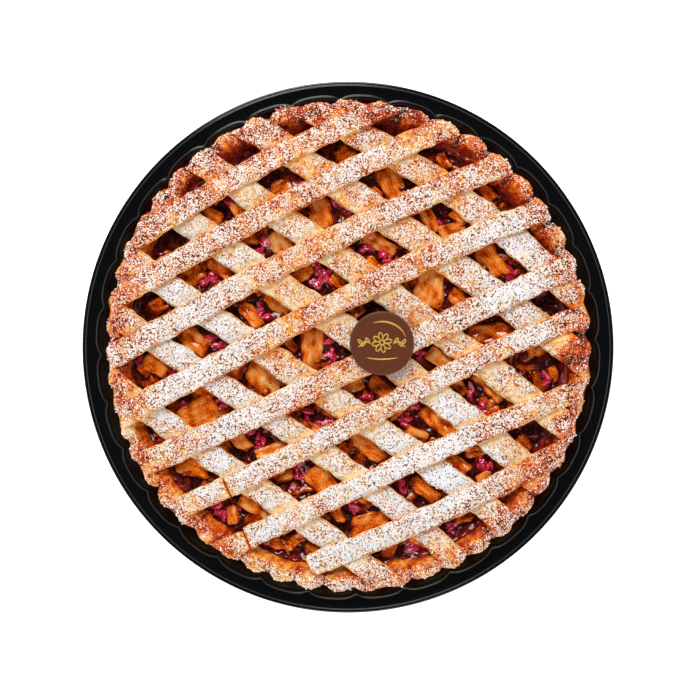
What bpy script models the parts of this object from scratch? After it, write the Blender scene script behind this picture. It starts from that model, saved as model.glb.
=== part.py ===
"""Apple galette with an open lattice top, standing in its fluted black tray.

The origin is the centre of the tray's underside. +Z is up, and +Y points to the top of the plan.
Lengths are millimetres. MM turns them into metres where a mesh is made.
A place read from the plan is in plan pixels, and on_plan() turns it into millimetres.
"""
import math
import random
from typing import NamedTuple

import bmesh
import bpy
import numpy as np
from mathutils import Matrix, Vector

MM = 0.001
GAP = 0.3

# The plan: pixels with y down, seen from straight above at VIEW_HEIGHT.
PLAN_CENTRE = (348.0, 347.1)
PLAN_SCALE = 305.0 / 531.5
VIEW_HEIGHT = 1600.0

# Tray: one sheet of formed plastic, with a lobed well and a flat rim that ends in a bead.
TRAY_RADIUS = 152.5
TRAY_SHEET = 1.0
TRAY_RIM_TOP = 16.0
TRAY_RIM_SKIRT = 3.0
TRAY_WELL_FLOOR = 134.0
TRAY_WELL_TOP = 144.6
TRAY_LOBES = 32
TRAY_LOBE_DEPTH = 2.8
TRAY_LOBE_START = math.radians(9.375)
TRAY_LOBE_POWER = 0.6
TRAY_LOBE_AT_FLOOR = 0.3
TRAY_EDGE_IN = 2.0
TRAY_EDGE_DOWN = 1.8
TRAY_BEAD = 0.9
TRAY_BEAD_CREST = 2.0
TRAY_BEAD_FOOT = 3.4
TRAY_BEAD_DROP = 0.4
SAMPLES_PER_LOBE = 3

# Crust: a fluted shell of short pastry, pressed into a tart tin, slightly longer than wide.
CRUST_RADIUS = 138.3
CRUST_BOTTOM = TRAY_SHEET + GAP
CRUST_BASE = 3.7
CRUST_SHOULDER = 26.3
CRUST_CROWN = 29.2
CRUST_TAPER = 8.0
CRUST_FLUTES = 51
CRUST_FLUTE_DEPTH = 3.2
CRUST_FLUTE_MEAN = 0.6
CRUST_FLUTE_FADED = 0.8
CRUST_LUMP = 0.4
RIM_OUTER = 1.4
RIM_OUTER_DROP = 0.8
RIM_CREST = 4.6
RIM_INNER = 8.3
RIM_INNER_DROP = 0.9
WALL_SLUMP = 6.0
WALL_TAPER = 3.0

# Filling: cooked apple and berries in a dark sauce, with the lattice lying on it.
SAUCE_LEVEL = 21.5
SAUCE_WAVE = 0.5
SAUCE_EDGE_DROP = 0.6
SAUCE_RINGS = (118.0, 88.0, 58.0, 28.0)
CORE_SIDES = 40
CHUNK_TOP = (23.6, 25.9)
CHUNK_HEIGHT = 8.5
CHUNK_BEVEL = 1.3
CHUNK_SLIM = 0.18
CHUNK_UNEVEN = 0.1
CHUNK_PITCH_DEG = 7
CHUNK_ROLL_DEG = 12
BERRY_RADIUS = 2.9
BERRY_SIZES = (0.9, 1.15)
BERRY_TOP = (23.4, 25.2)
FILLING_SEED = 7
# Points closer than this are one point.
SLIVER = 0.01

# Lattice: flat ribbons of the same pastry. The falling ones lie on the filling, the rising ones on them.
UNDER_THICKNESS = 3.5
OVER_THICKNESS = 3.3
UNDER_REST = 26.4
OVER_REST = 29.6
PRESSED_SHARE = 0.38
PRESS_FROM = 106.0
PRESS_TO = 128.0
STRIP_END = 135.6
STRIP_SLOPE = 0.35
STRIP_STEP = 22.0
END_ZONE = 24.0
END_STEPS = 4
END_SKEW = 30.0
BOW_CHORD = 136.0
# The ribbon's section, as shares of its width and thickness.
RIBBON_SECTION = ((-0.46, 0.0), (-0.5, 0.45), (-0.41, 1.0), (0.41, 1.0), (0.5, 0.45), (0.46, 0.0))

# Chocolate disc, lying on one of the rising strips.
DISC_PLAN = (382.0, 343.3)
DISC_RADIUS = 18.2
DISC_THICKNESS = 3.0
DISC_BEVEL = 0.5
DISC_SIDES = 40


class Strip(NamedTuple):
    """A ribbon of pastry: its line's tilt from +X in degrees, and its offset, bow, sway and width.

    start and end are distances along the line where a strip stops short of the rim.
    """
    name: str
    tilt: float
    offset: float
    bow: float
    sway: float
    width: float
    start: float = -999.0
    end: float = 999.0


UNDER_STRIPS = (
    Strip("under_strip_1", -37.5, -95.0, -0.5, 6.5, 14.6),
    Strip("under_strip_2", -36.5, -63.3, 5.3, 7.0, 14.0),
    Strip("under_strip_3", -35.0, -30.3, 1.0, 1.7, 15.2),
    Strip("under_strip_4", -36.5, 3.2, 3.8, 4.5, 16.6),
    Strip("under_strip_5", -36.0, 36.1, 2.0, 0.0, 16.2),
    Strip("under_strip_6", -35.0, 70.3, 2.7, -0.3, 17.2),
    Strip("under_strip_7", -35.0, 90.4, 15.6, -1.5, 16.2),
)
OVER_STRIPS = (
    Strip("over_strip_1", 28.5, 103.8, 10.8, -1.3, 13.0),
    Strip("over_strip_2", 27.0, 83.3, 5.5, 1.7, 13.4),
    Strip("over_strip_3", 26.0, 53.5, 5.2, 2.3, 13.8),
    Strip("over_strip_4", 26.0, 21.4, 4.2, 2.0, 13.8),
    Strip("over_strip_5", 24.5, -11.7, -0.4, 2.6, 14.4),
    Strip("over_strip_6", 25.0, -41.6, 1.8, 6.6, 12.6, start=-95.5),
    Strip("over_strip_6_scrap", 25.0, -41.6, 1.8, 6.6, 12.6, end=-96.7),
    Strip("over_strip_7", 24.0, -77.5, 3.2, 1.2, 12.6, start=-96.5),
    Strip("over_strip_7_scrap", 24.0, -77.5, 3.2, 1.2, 12.0, end=-97.8),
    Strip("over_strip_8", 24.5, -99.1, -7.8, -2.0, 13.2, start=-72.0),
)


class Chunk(NamedTuple):
    """A piece of apple: its centre on the plan, its length and width in mm, and its heading in degrees."""
    px: float
    py: float
    length: float
    width: float
    heading: float


# The apple that shows in the lattice's windows, row by row from the top of the plan.
CHUNKS = (
    Chunk(212, 214, 12, 8, -25), Chunk(239, 209, 9, 7, -60), Chunk(281, 186, 13, 8, 20),
    Chunk(345, 152, 13, 9, 35), Chunk(397, 133, 12, 6, 5), Chunk(160, 304, 12, 8, 30),
    Chunk(191, 278, 17, 10, 40), Chunk(222, 268, 16, 8, -35), Chunk(252, 238, 9, 7, 0),
    Chunk(281, 244, 15, 13, -60), Chunk(320, 212, 18, 15, -65), Chunk(391, 183, 18, 13, -60),
    Chunk(375, 193, 9, 6, -30), Chunk(452, 148, 9, 6, -50), Chunk(155, 366, 14, 10, -35),
    Chunk(134, 370, 9, 7, 30), Chunk(194, 341, 17, 11, -40), Chunk(250, 316, 15, 8, -55),
    Chunk(274, 300, 20, 10, -35), Chunk(304, 272, 12, 8, 35), Chunk(338, 281, 9, 7, -40),
    Chunk(380, 242, 19, 9, -30), Chunk(374, 267, 11, 7, -40), Chunk(427, 218, 16, 8, -60),
    Chunk(452, 230, 14, 8, 15), Chunk(460, 217, 11, 6, -30), Chunk(487, 193, 10, 7, -40),
    Chunk(199, 414, 21, 16, 30), Chunk(204, 391, 13, 6, -20), Chunk(264, 378, 20, 15, -40),
    Chunk(238, 373, 10, 7, 50), Chunk(311, 349, 23, 12, 90), Chunk(358, 312, 9, 6, 30),
    Chunk(430, 286, 22, 16, 80), Chunk(461, 299, 12, 9, -40), Chunk(492, 260, 20, 12, -55),
    Chunk(187, 471, 17, 11, -15), Chunk(241, 441, 12, 9, -50), Chunk(272, 452, 18, 7, 25),
    Chunk(326, 410, 11, 6, -35), Chunk(352, 386, 12, 8, 25), Chunk(382, 387, 14, 9, -40),
    Chunk(438, 356, 13, 8, -35), Chunk(489, 333, 21, 10, 10), Chunk(230, 521, 11, 6, -80),
    Chunk(259, 505, 20, 13, -30), Chunk(324, 483, 19, 13, -50), Chunk(284, 478, 11, 5, 25),
    Chunk(368, 446, 21, 9, -38), Chunk(439, 422, 21, 12, -45), Chunk(416, 435, 12, 6, -25),
    Chunk(488, 386, 21, 7, -48), Chunk(461, 386, 9, 6, -45), Chunk(538, 350, 12, 7, 10),
    Chunk(293, 540, 13, 7, 30), Chunk(275, 560, 12, 6, -10), Chunk(337, 514, 11, 7, -60),
    Chunk(371, 524, 20, 13, 15), Chunk(425, 490, 17, 8, -40), Chunk(456, 465, 15, 9, -35),
    Chunk(475, 450, 12, 6, 10), Chunk(485, 478, 9, 5, 30), Chunk(525, 443, 9, 6, -50),
    Chunk(395, 555, 17, 7, 65), Chunk(428, 556, 11, 8, -30), Chunk(467, 521, 10, 6, 10),
)

# The berries that show, in the same order.
BERRIES = (
    (230, 203), (203, 283), (213, 278), (259, 250), (265, 243), (341, 203), (349, 211),
    (141, 360), (164, 370), (173, 372), (211, 338), (218, 346), (261, 311), (267, 318),
    (317, 265), (324, 273), (329, 281), (318, 285), (384, 255), (389, 262), (365, 248),
    (224, 405), (330, 341), (337, 335), (332, 357), (510, 271), (153, 438), (258, 438),
    (262, 445), (308, 412), (325, 424), (333, 420), (364, 397), (421, 352), (216, 505),
    (219, 513), (301, 469), (308, 474), (293, 489), (411, 407), (405, 419), (472, 391),
    (483, 407), (548, 382), (268, 548), (275, 551), (354, 507), (401, 484), (405, 491),
    (481, 463), (487, 469), (411, 543), (411, 551), (450, 528), (440, 158),
)

DOUGH_COLOUR = (0.72, 0.36, 0.12)
RIM_COLOUR = (0.60, 0.24, 0.06)
FILLING_COLOUR = (0.38, 0.09, 0.03)
TRAY_COLOUR = (0.006, 0.006, 0.008)
CHOCOLATE_COLOUR = (0.11, 0.045, 0.035)


def on_plan(px: float, py: float, height: float) -> tuple[float, float]:
    """The place in mm of a plan pixel, on the level plane at this height."""
    scale = PLAN_SCALE * (VIEW_HEIGHT - height) / (VIEW_HEIGHT - TRAY_RIM_TOP)
    return (px - PLAN_CENTRE[0]) * scale, (PLAN_CENTRE[1] - py) * scale


def smoothstep(low: float, high: float, value: np.ndarray) -> np.ndarray:
    """0 below low, 1 above high, and an S-curve between."""
    share = np.clip((value - low) / (high - low), 0.0, 1.0)
    return share * share * (3.0 - 2.0 * share)


def make_material(name: str, colour: tuple, roughness: float, metallic: float = 0.0) -> bpy.types.Material:
    """A Principled material of one colour."""
    material = bpy.data.materials.new(name)
    material.use_nodes = True
    shader = material.node_tree.nodes["Principled BSDF"]
    shader.inputs["Base Color"].default_value = (*colour, 1.0)
    shader.inputs["Roughness"].default_value = roughness
    shader.inputs["Metallic"].default_value = metallic
    return material


def add_object(name: str, shape: bmesh.types.BMesh, material: bpy.types.Material,
               crease_deg: float = 40.0) -> bpy.types.Object:
    """Turn a closed bmesh in mm into an object in metres, faces out and shaded smooth."""
    bmesh.ops.recalc_face_normals(shape, faces=shape.faces)
    bmesh.ops.scale(shape, vec=Vector((MM, MM, MM)), verts=shape.verts)
    mesh = bpy.data.meshes.new(name)
    shape.to_mesh(mesh)
    shape.free()
    mesh.materials.append(material)
    mesh.shade_smooth()
    mesh.set_sharp_from_angle(angle=math.radians(crease_deg))
    part = bpy.data.objects.new(name, mesh)
    bpy.context.collection.objects.link(part)
    return part


def loft(rings: list[np.ndarray]) -> bmesh.types.BMesh:
    """Join rings of points with quads, and close the first and last ring with a flat face each."""
    shape = bmesh.new()
    loops = [[shape.verts.new(point) for point in ring] for ring in rings]
    count = len(loops[0])
    for lower, upper in zip(loops, loops[1:]):
        for i in range(count):
            j = (i + 1) % count
            shape.faces.new((lower[i], lower[j], upper[j], upper[i]))
    shape.faces.new(reversed(loops[0]))
    shape.faces.new(loops[-1])
    return shape


def ring(angles: np.ndarray, radius: np.ndarray, height: np.ndarray) -> np.ndarray:
    """Points round the Z axis, at one radius and height for each angle."""
    radius = np.broadcast_to(radius, angles.shape)
    height = np.broadcast_to(height, angles.shape)
    return np.column_stack((radius * np.cos(angles), radius * np.sin(angles), height))


def build_tray(material: bpy.types.Material) -> None:
    """The tray: the sheet's upper face from the floor out to the rim's edge, and its underside back."""
    count = TRAY_LOBES * SAMPLES_PER_LOBE
    angles = (np.arange(count) + 0.5) * math.tau / count
    arch = np.abs(np.sin(TRAY_LOBES * (angles + TRAY_LOBE_START) / 2)) ** TRAY_LOBE_POWER
    cusp = (1.0 - arch) * TRAY_LOBE_DEPTH
    top, sheet = TRAY_RIM_TOP, TRAY_SHEET
    well_floor = TRAY_WELL_FLOOR - TRAY_LOBE_AT_FLOOR * cusp
    well_top = TRAY_WELL_TOP - cusp
    skirt = top - TRAY_RIM_SKIRT
    rings = [
        ring(angles, well_floor, sheet),
        ring(angles, well_top - TRAY_EDGE_IN, top - TRAY_EDGE_DOWN),
        ring(angles, well_top, top),
        ring(angles, TRAY_RADIUS - TRAY_BEAD_FOOT, top),
        ring(angles, TRAY_RADIUS - TRAY_BEAD_CREST, top + TRAY_BEAD),
        ring(angles, TRAY_RADIUS, top - TRAY_BEAD_DROP),
        ring(angles, TRAY_RADIUS, skirt),
        ring(angles, TRAY_RADIUS - sheet, skirt),
        ring(angles, TRAY_RADIUS - TRAY_BEAD_FOOT + sheet, top - sheet),
        ring(angles, well_top, top - 1.3 * sheet),
        ring(angles, well_floor, 0.0),
    ]
    add_object("tray", loft(rings), material, crease_deg=35.0)


def crust_outline(angles: np.ndarray) -> np.ndarray:
    """How far the crust's plan departs from a true circle: a slight oval, set a little off centre."""
    return (0.2 * np.cos(angles) + 0.8 * np.sin(angles)
            - 1.1 * np.cos(2 * angles) - 0.35 * np.sin(2 * angles))


def flute_phase(angles: np.ndarray) -> np.ndarray:
    """The flutes' phase, which runs a little faster on one side of the rim than on the other."""
    around = -angles
    drift = 3.5 * np.sin(around - math.radians(135)) + 1.5 * np.sin(2 * around)
    return CRUST_FLUTES * around + drift + math.radians(117.6)


def flute_arch(angles: np.ndarray) -> np.ndarray:
    """1 on the crest of a flute and 0 in the groove beside it."""
    return np.abs(np.cos(flute_phase(angles) / 2))


def crust_angles() -> np.ndarray:
    """Angles that fall on each flute's crest, its groove and halfway between them."""
    fine = np.linspace(0.0, math.tau, 20001)
    phase = -flute_phase(fine)
    quarter = math.pi / 2
    first = math.ceil(phase[0] / quarter) * quarter
    wanted = first + quarter * np.arange(CRUST_FLUTES * 4)
    return np.interp(wanted, phase, fine)


def inner_wall(height: float) -> float:
    """The radius of the crust's inner wall, which leans in as the pastry slumped."""
    rim = CRUST_RADIUS - RIM_INNER
    rim_level = CRUST_CROWN - RIM_INNER_DROP
    if height >= SAUCE_LEVEL:
        return rim - WALL_SLUMP * (rim_level - height) / (rim_level - SAUCE_LEVEL)
    return rim - WALL_SLUMP - WALL_TAPER * (SAUCE_LEVEL - height) / SAUCE_LEVEL


def build_crust(material: bpy.types.Material) -> None:
    """The pastry shell: fluted outside, with a rounded rim and a smooth wall that leans in."""
    angles = crust_angles()
    oval = crust_outline(angles)
    arch = flute_arch(angles)
    uneven = 1.0 + 0.2 * np.sin(7 * angles + 1.0) + 0.15 * np.sin(13 * angles + 2.0)
    flute = CRUST_FLUTE_DEPTH * uneven * (arch - CRUST_FLUTE_MEAN)
    faded = CRUST_FLUTE_FADED * flute
    lump = CRUST_LUMP * (arch - 0.5) * 2
    base = CRUST_BOTTOM + CRUST_BASE
    rings = [
        ring(angles, CRUST_RADIUS - CRUST_TAPER + oval + faded, CRUST_BOTTOM),
        ring(angles, CRUST_RADIUS + oval + flute, CRUST_SHOULDER),
        ring(angles, CRUST_RADIUS - RIM_OUTER + oval + faded, CRUST_CROWN - RIM_OUTER_DROP + lump),
        ring(angles, CRUST_RADIUS - RIM_CREST + oval, CRUST_CROWN + lump),
        ring(angles, CRUST_RADIUS - RIM_INNER + oval, CRUST_CROWN - RIM_INNER_DROP),
        ring(angles, inner_wall(SAUCE_LEVEL) + oval, SAUCE_LEVEL),
        ring(angles, inner_wall(base) + oval, base),
    ]
    add_object("crust", loft(rings), material)


def strip_point(strip: Strip, along: np.ndarray, across: np.ndarray) -> tuple[np.ndarray, np.ndarray]:
    """The plan place of a point on a strip, from its distance along and across the strip's line."""
    tilt = math.radians(strip.tilt)
    share = along / BOW_CHORD
    curve = (1.0 - share ** 2) * (strip.bow + strip.sway * share)
    sideways = strip.offset + curve + across
    x = along * math.cos(tilt) - sideways * math.sin(tilt)
    y = along * math.sin(tilt) + sideways * math.cos(tilt)
    return x, y


def strip_span(strip: Strip, across: float) -> tuple[float, float]:
    """Where a line along a strip, at this distance across it, meets the rim or the strip's cut end."""
    along = np.linspace(-BOW_CHORD - 4, BOW_CHORD + 4, 1201)
    x, y = strip_point(strip, along, across)
    angles = np.arctan2(y, x)
    inside = np.hypot(x, y) < STRIP_END + crust_outline(angles)
    inside &= (along > strip.start) & (along < strip.end)
    return float(along[inside][0]), float(along[inside][-1])


class Ribbon:
    """A strip's level: its underside and thickness at stations along its line."""

    def __init__(self, strip: Strip, thickness: float, rest: float, below: list["Ribbon"]) -> None:
        self.strip = strip
        self.full = thickness
        self.first, self.last = strip_span(strip, 0.0)
        self.along = np.linspace(self.first - 14, self.last + 14, 360)
        self.under = self.settle(rest, below)

    def settle(self, rest: float, below: list["Ribbon"]) -> np.ndarray:
        """The underside: clear of the rim and of the strips below, and no steeper than pastry hangs."""
        support = np.full(self.along.shape, rest)
        half = self.strip.width / 2
        for across in np.linspace(-half, half, 9):
            x, y = strip_point(self.strip, self.along, across)
            level = self.rim_level(x, y)
            for ribbon in below:
                level = np.maximum(level, ribbon.top_at(x, y) + GAP)
            support = np.maximum(support, level)
        run = np.abs(self.along[:, None] - self.along[None, :])
        return np.max(support[None, :] - STRIP_SLOPE * run, axis=1)

    def rim_level(self, x: np.ndarray, y: np.ndarray) -> np.ndarray:
        """The underside that the crust's rim allows."""
        reach = np.hypot(x, y) - crust_outline(np.arctan2(y, x))
        over_rim = reach > CRUST_RADIUS - RIM_INNER - 1.5
        return np.where(over_rim, CRUST_CROWN + CRUST_LUMP + GAP, 0.0)

    def thickness(self, along: np.ndarray) -> np.ndarray:
        """The thickness, which thins to PRESSED_SHARE of itself where the strip is pressed on the rim."""
        x, y = strip_point(self.strip, along, 0.0)
        press = smoothstep(PRESS_FROM, PRESS_TO, np.hypot(x, y))
        return self.full * (1.0 - (1.0 - PRESSED_SHARE) * press)

    def bottom(self, along: np.ndarray) -> np.ndarray:
        """The underside's height."""
        return np.interp(along, self.along, self.under)

    def top_at(self, x: np.ndarray, y: np.ndarray) -> np.ndarray:
        """The top's height at plan places that lie on this strip, and 0 elsewhere."""
        tilt = math.radians(self.strip.tilt)
        along = x * math.cos(tilt) + y * math.sin(tilt)
        centre_x, centre_y = strip_point(self.strip, along, 0.0)
        across = np.hypot(x - centre_x, y - centre_y)
        on_strip = (across < self.strip.width / 2 + 1.0) & (along > self.first - 8) & (along < self.last + 8)
        return np.where(on_strip, self.crown(along), 0.0)

    def stations(self) -> np.ndarray:
        """Distances along the line, from end to end, at which the strip's sections stand."""
        length = self.last - self.first
        zone = min(END_ZONE, length / 3)
        steps = END_STEPS if zone == END_ZONE else 2
        middle = max(2, round((length - 2 * zone) / STRIP_STEP)) + 1
        return np.concatenate((np.linspace(self.first, self.first + zone, steps + 1)[:-1],
                               np.linspace(self.first + zone, self.last - zone, middle),
                               np.linspace(self.last - zone, self.last, steps + 1)[1:]))

    def levels(self) -> tuple[np.ndarray, np.ndarray]:
        """The underside at each station, as high as the span on both its sides needs."""
        stations = self.stations()
        before = np.concatenate(([stations[0] - 1.0], stations[:-1]))
        after = np.concatenate((stations[1:], [stations[-1] + 1.0]))
        near = (self.along[None, :] >= before[:, None] - 0.6) & (self.along[None, :] <= after[:, None] + 0.6)
        raised = np.max(np.where(near, self.under[None, :], -1.0), axis=1)
        return stations, raised

    def crown(self, along: np.ndarray) -> np.ndarray:
        """The top's height, as the stations make it."""
        stations, raised = self.levels()
        return np.interp(along, stations, raised + self.thickness(stations))


def build_strip(ribbon: Ribbon, material: bpy.types.Material) -> None:
    """A ribbon with rounded sides, whose ends follow the rim or are cut square."""
    strip = ribbon.strip
    stations, bottoms = ribbon.levels()
    half = strip.width / 2
    ends = {side: strip_span(strip, side * half) for side in (-1, 1)}
    reach = min(END_SKEW, (ribbon.last - ribbon.first) / 2)
    near_first = np.clip(1.0 - (stations - ribbon.first) / reach, 0.0, 1.0) ** 2
    near_last = np.clip(1.0 - (ribbon.last - stations) / reach, 0.0, 1.0) ** 2
    thickness = ribbon.thickness(stations)
    columns = []
    for across_share, height_share in RIBBON_SECTION:
        side = 1 if across_share > 0 else -1
        first, last = ends[side]
        share = abs(across_share) * 2
        shift = share * (near_first * (first - ribbon.first) + near_last * (last - ribbon.last))
        x, y = strip_point(strip, stations + shift, across_share * strip.width)
        columns.append(np.column_stack((x, y, bottoms + height_share * thickness)))
    rings = [np.array([column[i] for column in columns]) for i in range(len(stations))]
    add_object(strip.name, loft(rings), material)


def sauce_height(x: np.ndarray, y: np.ndarray) -> np.ndarray:
    """The sauce's level, with a slow uneven swell."""
    return SAUCE_LEVEL + SAUCE_WAVE * np.sin(x / 17.0 + 1.0) * np.cos(y / 13.0 - 0.5)


def filling_core() -> bmesh.types.BMesh:
    """The filling's body up to the sauce, following the crust's inner wall."""
    angles = np.arange(CORE_SIDES) * math.tau / CORE_SIDES
    oval = crust_outline(angles)
    base = CRUST_BOTTOM + CRUST_BASE + GAP
    clear = 1.6 * GAP
    rings = [
        ring(angles, inner_wall(base) - clear + oval, base),
        ring(angles, inner_wall(SAUCE_LEVEL) - clear + oval, SAUCE_LEVEL - SAUCE_EDGE_DROP),
    ]
    for radius in SAUCE_RINGS:
        flat = ring(angles, radius, 0.0)
        flat[:, 2] = sauce_height(flat[:, 0], flat[:, 1])
        rings.append(flat)
    return loft(rings)


def clear_of_wall(points: np.ndarray) -> np.ndarray:
    """Move a piece of filling towards the middle until the crust's wall is clear of it."""
    centre = points[:, :2].mean(axis=0)
    inward = -centre / max(1e-6, float(np.hypot(*centre)))
    reach = np.hypot(points[:, 0], points[:, 1]) - crust_outline(np.arctan2(points[:, 1], points[:, 0]))
    limit = np.array([inner_wall(height) for height in points[:, 2]]) - 3 * GAP
    over = max(0.0, float(np.max(reach - limit)))
    moved = points.copy()
    moved[:, :2] += inward * over
    return moved


def place_piece(shape: bmesh.types.BMesh, name: str, top: float, x: float, y: float,
                turn: Matrix) -> bpy.types.Object:
    """Turn a piece, stand its highest point at top over the plan place, and make it an object."""
    bmesh.ops.transform(shape, matrix=turn, verts=shape.verts)
    points = np.array([vert.co[:] for vert in shape.verts])
    points += (x, y, top - points[:, 2].max())
    for vert, point in zip(shape.verts, clear_of_wall(points)):
        vert.co = point
    bmesh.ops.recalc_face_normals(shape, faces=shape.faces)
    bmesh.ops.scale(shape, vec=Vector((MM, MM, MM)), verts=shape.verts)
    mesh = bpy.data.meshes.new(name)
    shape.to_mesh(mesh)
    shape.free()
    return bpy.data.objects.new(name, mesh)


def chunk_piece(chunk: Chunk, draw: random.Random) -> bpy.types.Object:
    """A cut piece of apple: a block with soft edges, tapered and tipped a little."""
    shape = bmesh.new()
    bmesh.ops.create_cube(shape, size=1.0)
    for vert in shape.verts:
        slim = 1.0 - (CHUNK_SLIM if vert.co.x * vert.co.y > 0 else 0.0) - CHUNK_UNEVEN * draw.random()
        vert.co.x *= chunk.length * (1.0 - CHUNK_UNEVEN * draw.random())
        vert.co.y *= chunk.width * slim
        vert.co.z *= CHUNK_HEIGHT
    upper = [edge for edge in shape.edges if all(vert.co.z > 0 for vert in edge.verts)]
    bmesh.ops.bevel(shape, geom=upper, offset=CHUNK_BEVEL, segments=1, affect="EDGES")
    pitch = math.radians(draw.uniform(-CHUNK_PITCH_DEG, CHUNK_PITCH_DEG))
    roll = math.radians(draw.uniform(-CHUNK_ROLL_DEG, CHUNK_ROLL_DEG))
    heading = Matrix.Rotation(math.radians(chunk.heading), 4, "Z")
    turn = heading @ Matrix.Rotation(pitch, 4, "Y") @ Matrix.Rotation(roll, 4, "X")
    top = draw.uniform(*CHUNK_TOP)
    x, y = on_plan(chunk.px, chunk.py, top)
    return place_piece(shape, "chunk", top, x, y, turn)


def berry_piece(place: tuple[float, float], draw: random.Random) -> bpy.types.Object:
    """A berry: a ball with few sides."""
    shape = bmesh.new()
    bmesh.ops.create_icosphere(shape, subdivisions=1, radius=BERRY_RADIUS * draw.uniform(*BERRY_SIZES))
    turn = Matrix.Rotation(draw.uniform(0, math.tau), 4, Vector((draw.random(), draw.random(), 1.0)))
    top = draw.uniform(*BERRY_TOP)
    x, y = on_plan(*place, top)
    return place_piece(shape, "berry", top, x, y, turn)


def keep_largest_shell(mesh: bpy.types.Mesh) -> None:
    """Drop every closed shell but the largest: sealed hollows are filled so, and loose scraps go."""
    shape = bmesh.new()
    shape.from_mesh(mesh)
    bmesh.ops.dissolve_degenerate(shape, dist=SLIVER * MM, edges=shape.edges)
    bmesh.ops.triangulate(shape, faces=shape.faces)
    bmesh.ops.remove_doubles(shape, verts=shape.verts, dist=SLIVER * MM)
    shells = []
    waiting = set(shape.faces)
    while waiting:
        shell, front = set(), [waiting.pop()]
        while front:
            face = front.pop()
            shell.add(face)
            for edge in face.edges:
                for near in edge.link_faces:
                    if near in waiting:
                        waiting.remove(near)
                        front.append(near)
        shells.append(shell)
    largest = max(shells, key=len)
    spare = [face for shell in shells if shell is not largest for face in shell]
    bmesh.ops.delete(shape, geom=spare, context="FACES")
    shape.to_mesh(mesh)
    shape.free()


def build_filling(material: bpy.types.Material) -> None:
    """The filling: the sauce with the apple and berries that show joined to it as one solid."""
    draw = random.Random(FILLING_SEED)
    pieces = bpy.data.collections.new("filling_pieces")
    bpy.context.scene.collection.children.link(pieces)
    for chunk in CHUNKS:
        pieces.objects.link(chunk_piece(chunk, draw))
    for place in BERRIES:
        pieces.objects.link(berry_piece(place, draw))
    filling = add_object("filling", filling_core(), material, crease_deg=30.0)
    union = filling.modifiers.new("pieces", "BOOLEAN")
    union.operation = "UNION"
    union.operand_type = "COLLECTION"
    union.collection = pieces
    union.solver = "EXACT"
    depsgraph = bpy.context.evaluated_depsgraph_get()
    joined = bpy.data.meshes.new_from_object(filling.evaluated_get(depsgraph))
    filling.modifiers.remove(union)
    keep_largest_shell(joined)
    filling.data = joined
    for piece in list(pieces.objects):
        bpy.data.objects.remove(piece)
    bpy.data.collections.remove(pieces)


def build_disc(strips: list[Ribbon], material: bpy.types.Material) -> None:
    """The chocolate disc, lying on the highest strips under it."""
    x, y = on_plan(*DISC_PLAN, CRUST_CROWN + 8)
    reach, turn = np.meshgrid(np.linspace(0, DISC_RADIUS, 10), np.linspace(0, math.tau, 40))
    under_x, under_y = x + reach * np.cos(turn), y + reach * np.sin(turn)
    lying_on = max(float(ribbon.top_at(under_x, under_y).max()) for ribbon in strips)
    shape = bmesh.new()
    bmesh.ops.create_cone(shape, cap_ends=True, segments=DISC_SIDES, radius1=DISC_RADIUS,
                          radius2=DISC_RADIUS, depth=DISC_THICKNESS)
    rims = [edge for edge in shape.edges if abs(edge.verts[0].co.z - edge.verts[1].co.z) < 1e-6]
    bmesh.ops.bevel(shape, geom=rims, offset=DISC_BEVEL, segments=1, affect="EDGES")
    centre = Vector((x, y, lying_on + GAP + DISC_THICKNESS / 2))
    bmesh.ops.translate(shape, vec=centre, verts=shape.verts)
    add_object("chocolate_disc", shape, material)


def main() -> None:
    """Build the tray, the crust, the filling, the lattice and the disc."""
    for old in list(bpy.data.objects):
        bpy.data.objects.remove(old)
    dough = make_material("dough", DOUGH_COLOUR, 0.75)
    rim = make_material("crust", RIM_COLOUR, 0.75)
    build_tray(make_material("tray", TRAY_COLOUR, 0.12))
    build_crust(rim)
    build_filling(make_material("filling", FILLING_COLOUR, 0.2))
    under = [Ribbon(strip, UNDER_THICKNESS, UNDER_REST, []) for strip in UNDER_STRIPS]
    over = [Ribbon(strip, OVER_THICKNESS, OVER_REST, under) for strip in OVER_STRIPS]
    for ribbon in under + over:
        build_strip(ribbon, dough)
    build_disc(over, make_material("chocolate", CHOCOLATE_COLOUR, 0.35))


main()
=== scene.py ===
"""Looks of the apple galette in its black tray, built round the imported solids.

The shapes are worked out in millimetres, and add_piece() turns them into metres. A place read from
the plan picture is in its pixels, and on_plan() turns it into millimetres at a stated height.
"""
import logging
import math
import random
from dataclasses import dataclass, field
from enum import Enum

import bpy
import numpy as np
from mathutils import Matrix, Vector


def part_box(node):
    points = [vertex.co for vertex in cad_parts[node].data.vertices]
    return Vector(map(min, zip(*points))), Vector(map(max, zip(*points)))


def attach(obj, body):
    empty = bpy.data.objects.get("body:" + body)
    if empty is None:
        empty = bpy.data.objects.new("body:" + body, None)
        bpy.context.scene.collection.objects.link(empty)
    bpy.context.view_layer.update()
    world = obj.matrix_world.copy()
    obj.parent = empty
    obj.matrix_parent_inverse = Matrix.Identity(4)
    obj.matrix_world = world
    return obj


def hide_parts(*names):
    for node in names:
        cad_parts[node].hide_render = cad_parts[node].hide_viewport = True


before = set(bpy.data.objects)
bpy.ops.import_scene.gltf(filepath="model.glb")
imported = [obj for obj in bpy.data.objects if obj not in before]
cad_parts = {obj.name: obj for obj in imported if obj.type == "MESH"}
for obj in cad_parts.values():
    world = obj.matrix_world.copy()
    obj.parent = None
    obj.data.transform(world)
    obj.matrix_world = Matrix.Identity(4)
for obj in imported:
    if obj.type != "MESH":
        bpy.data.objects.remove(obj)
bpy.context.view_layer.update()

LOG = logging.getLogger("galette")
Array = np.ndarray
Socket = bpy.types.NodeSocket
Value = Socket | float
Stops = tuple[tuple[float, str], ...]

MM = 0.001
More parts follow.
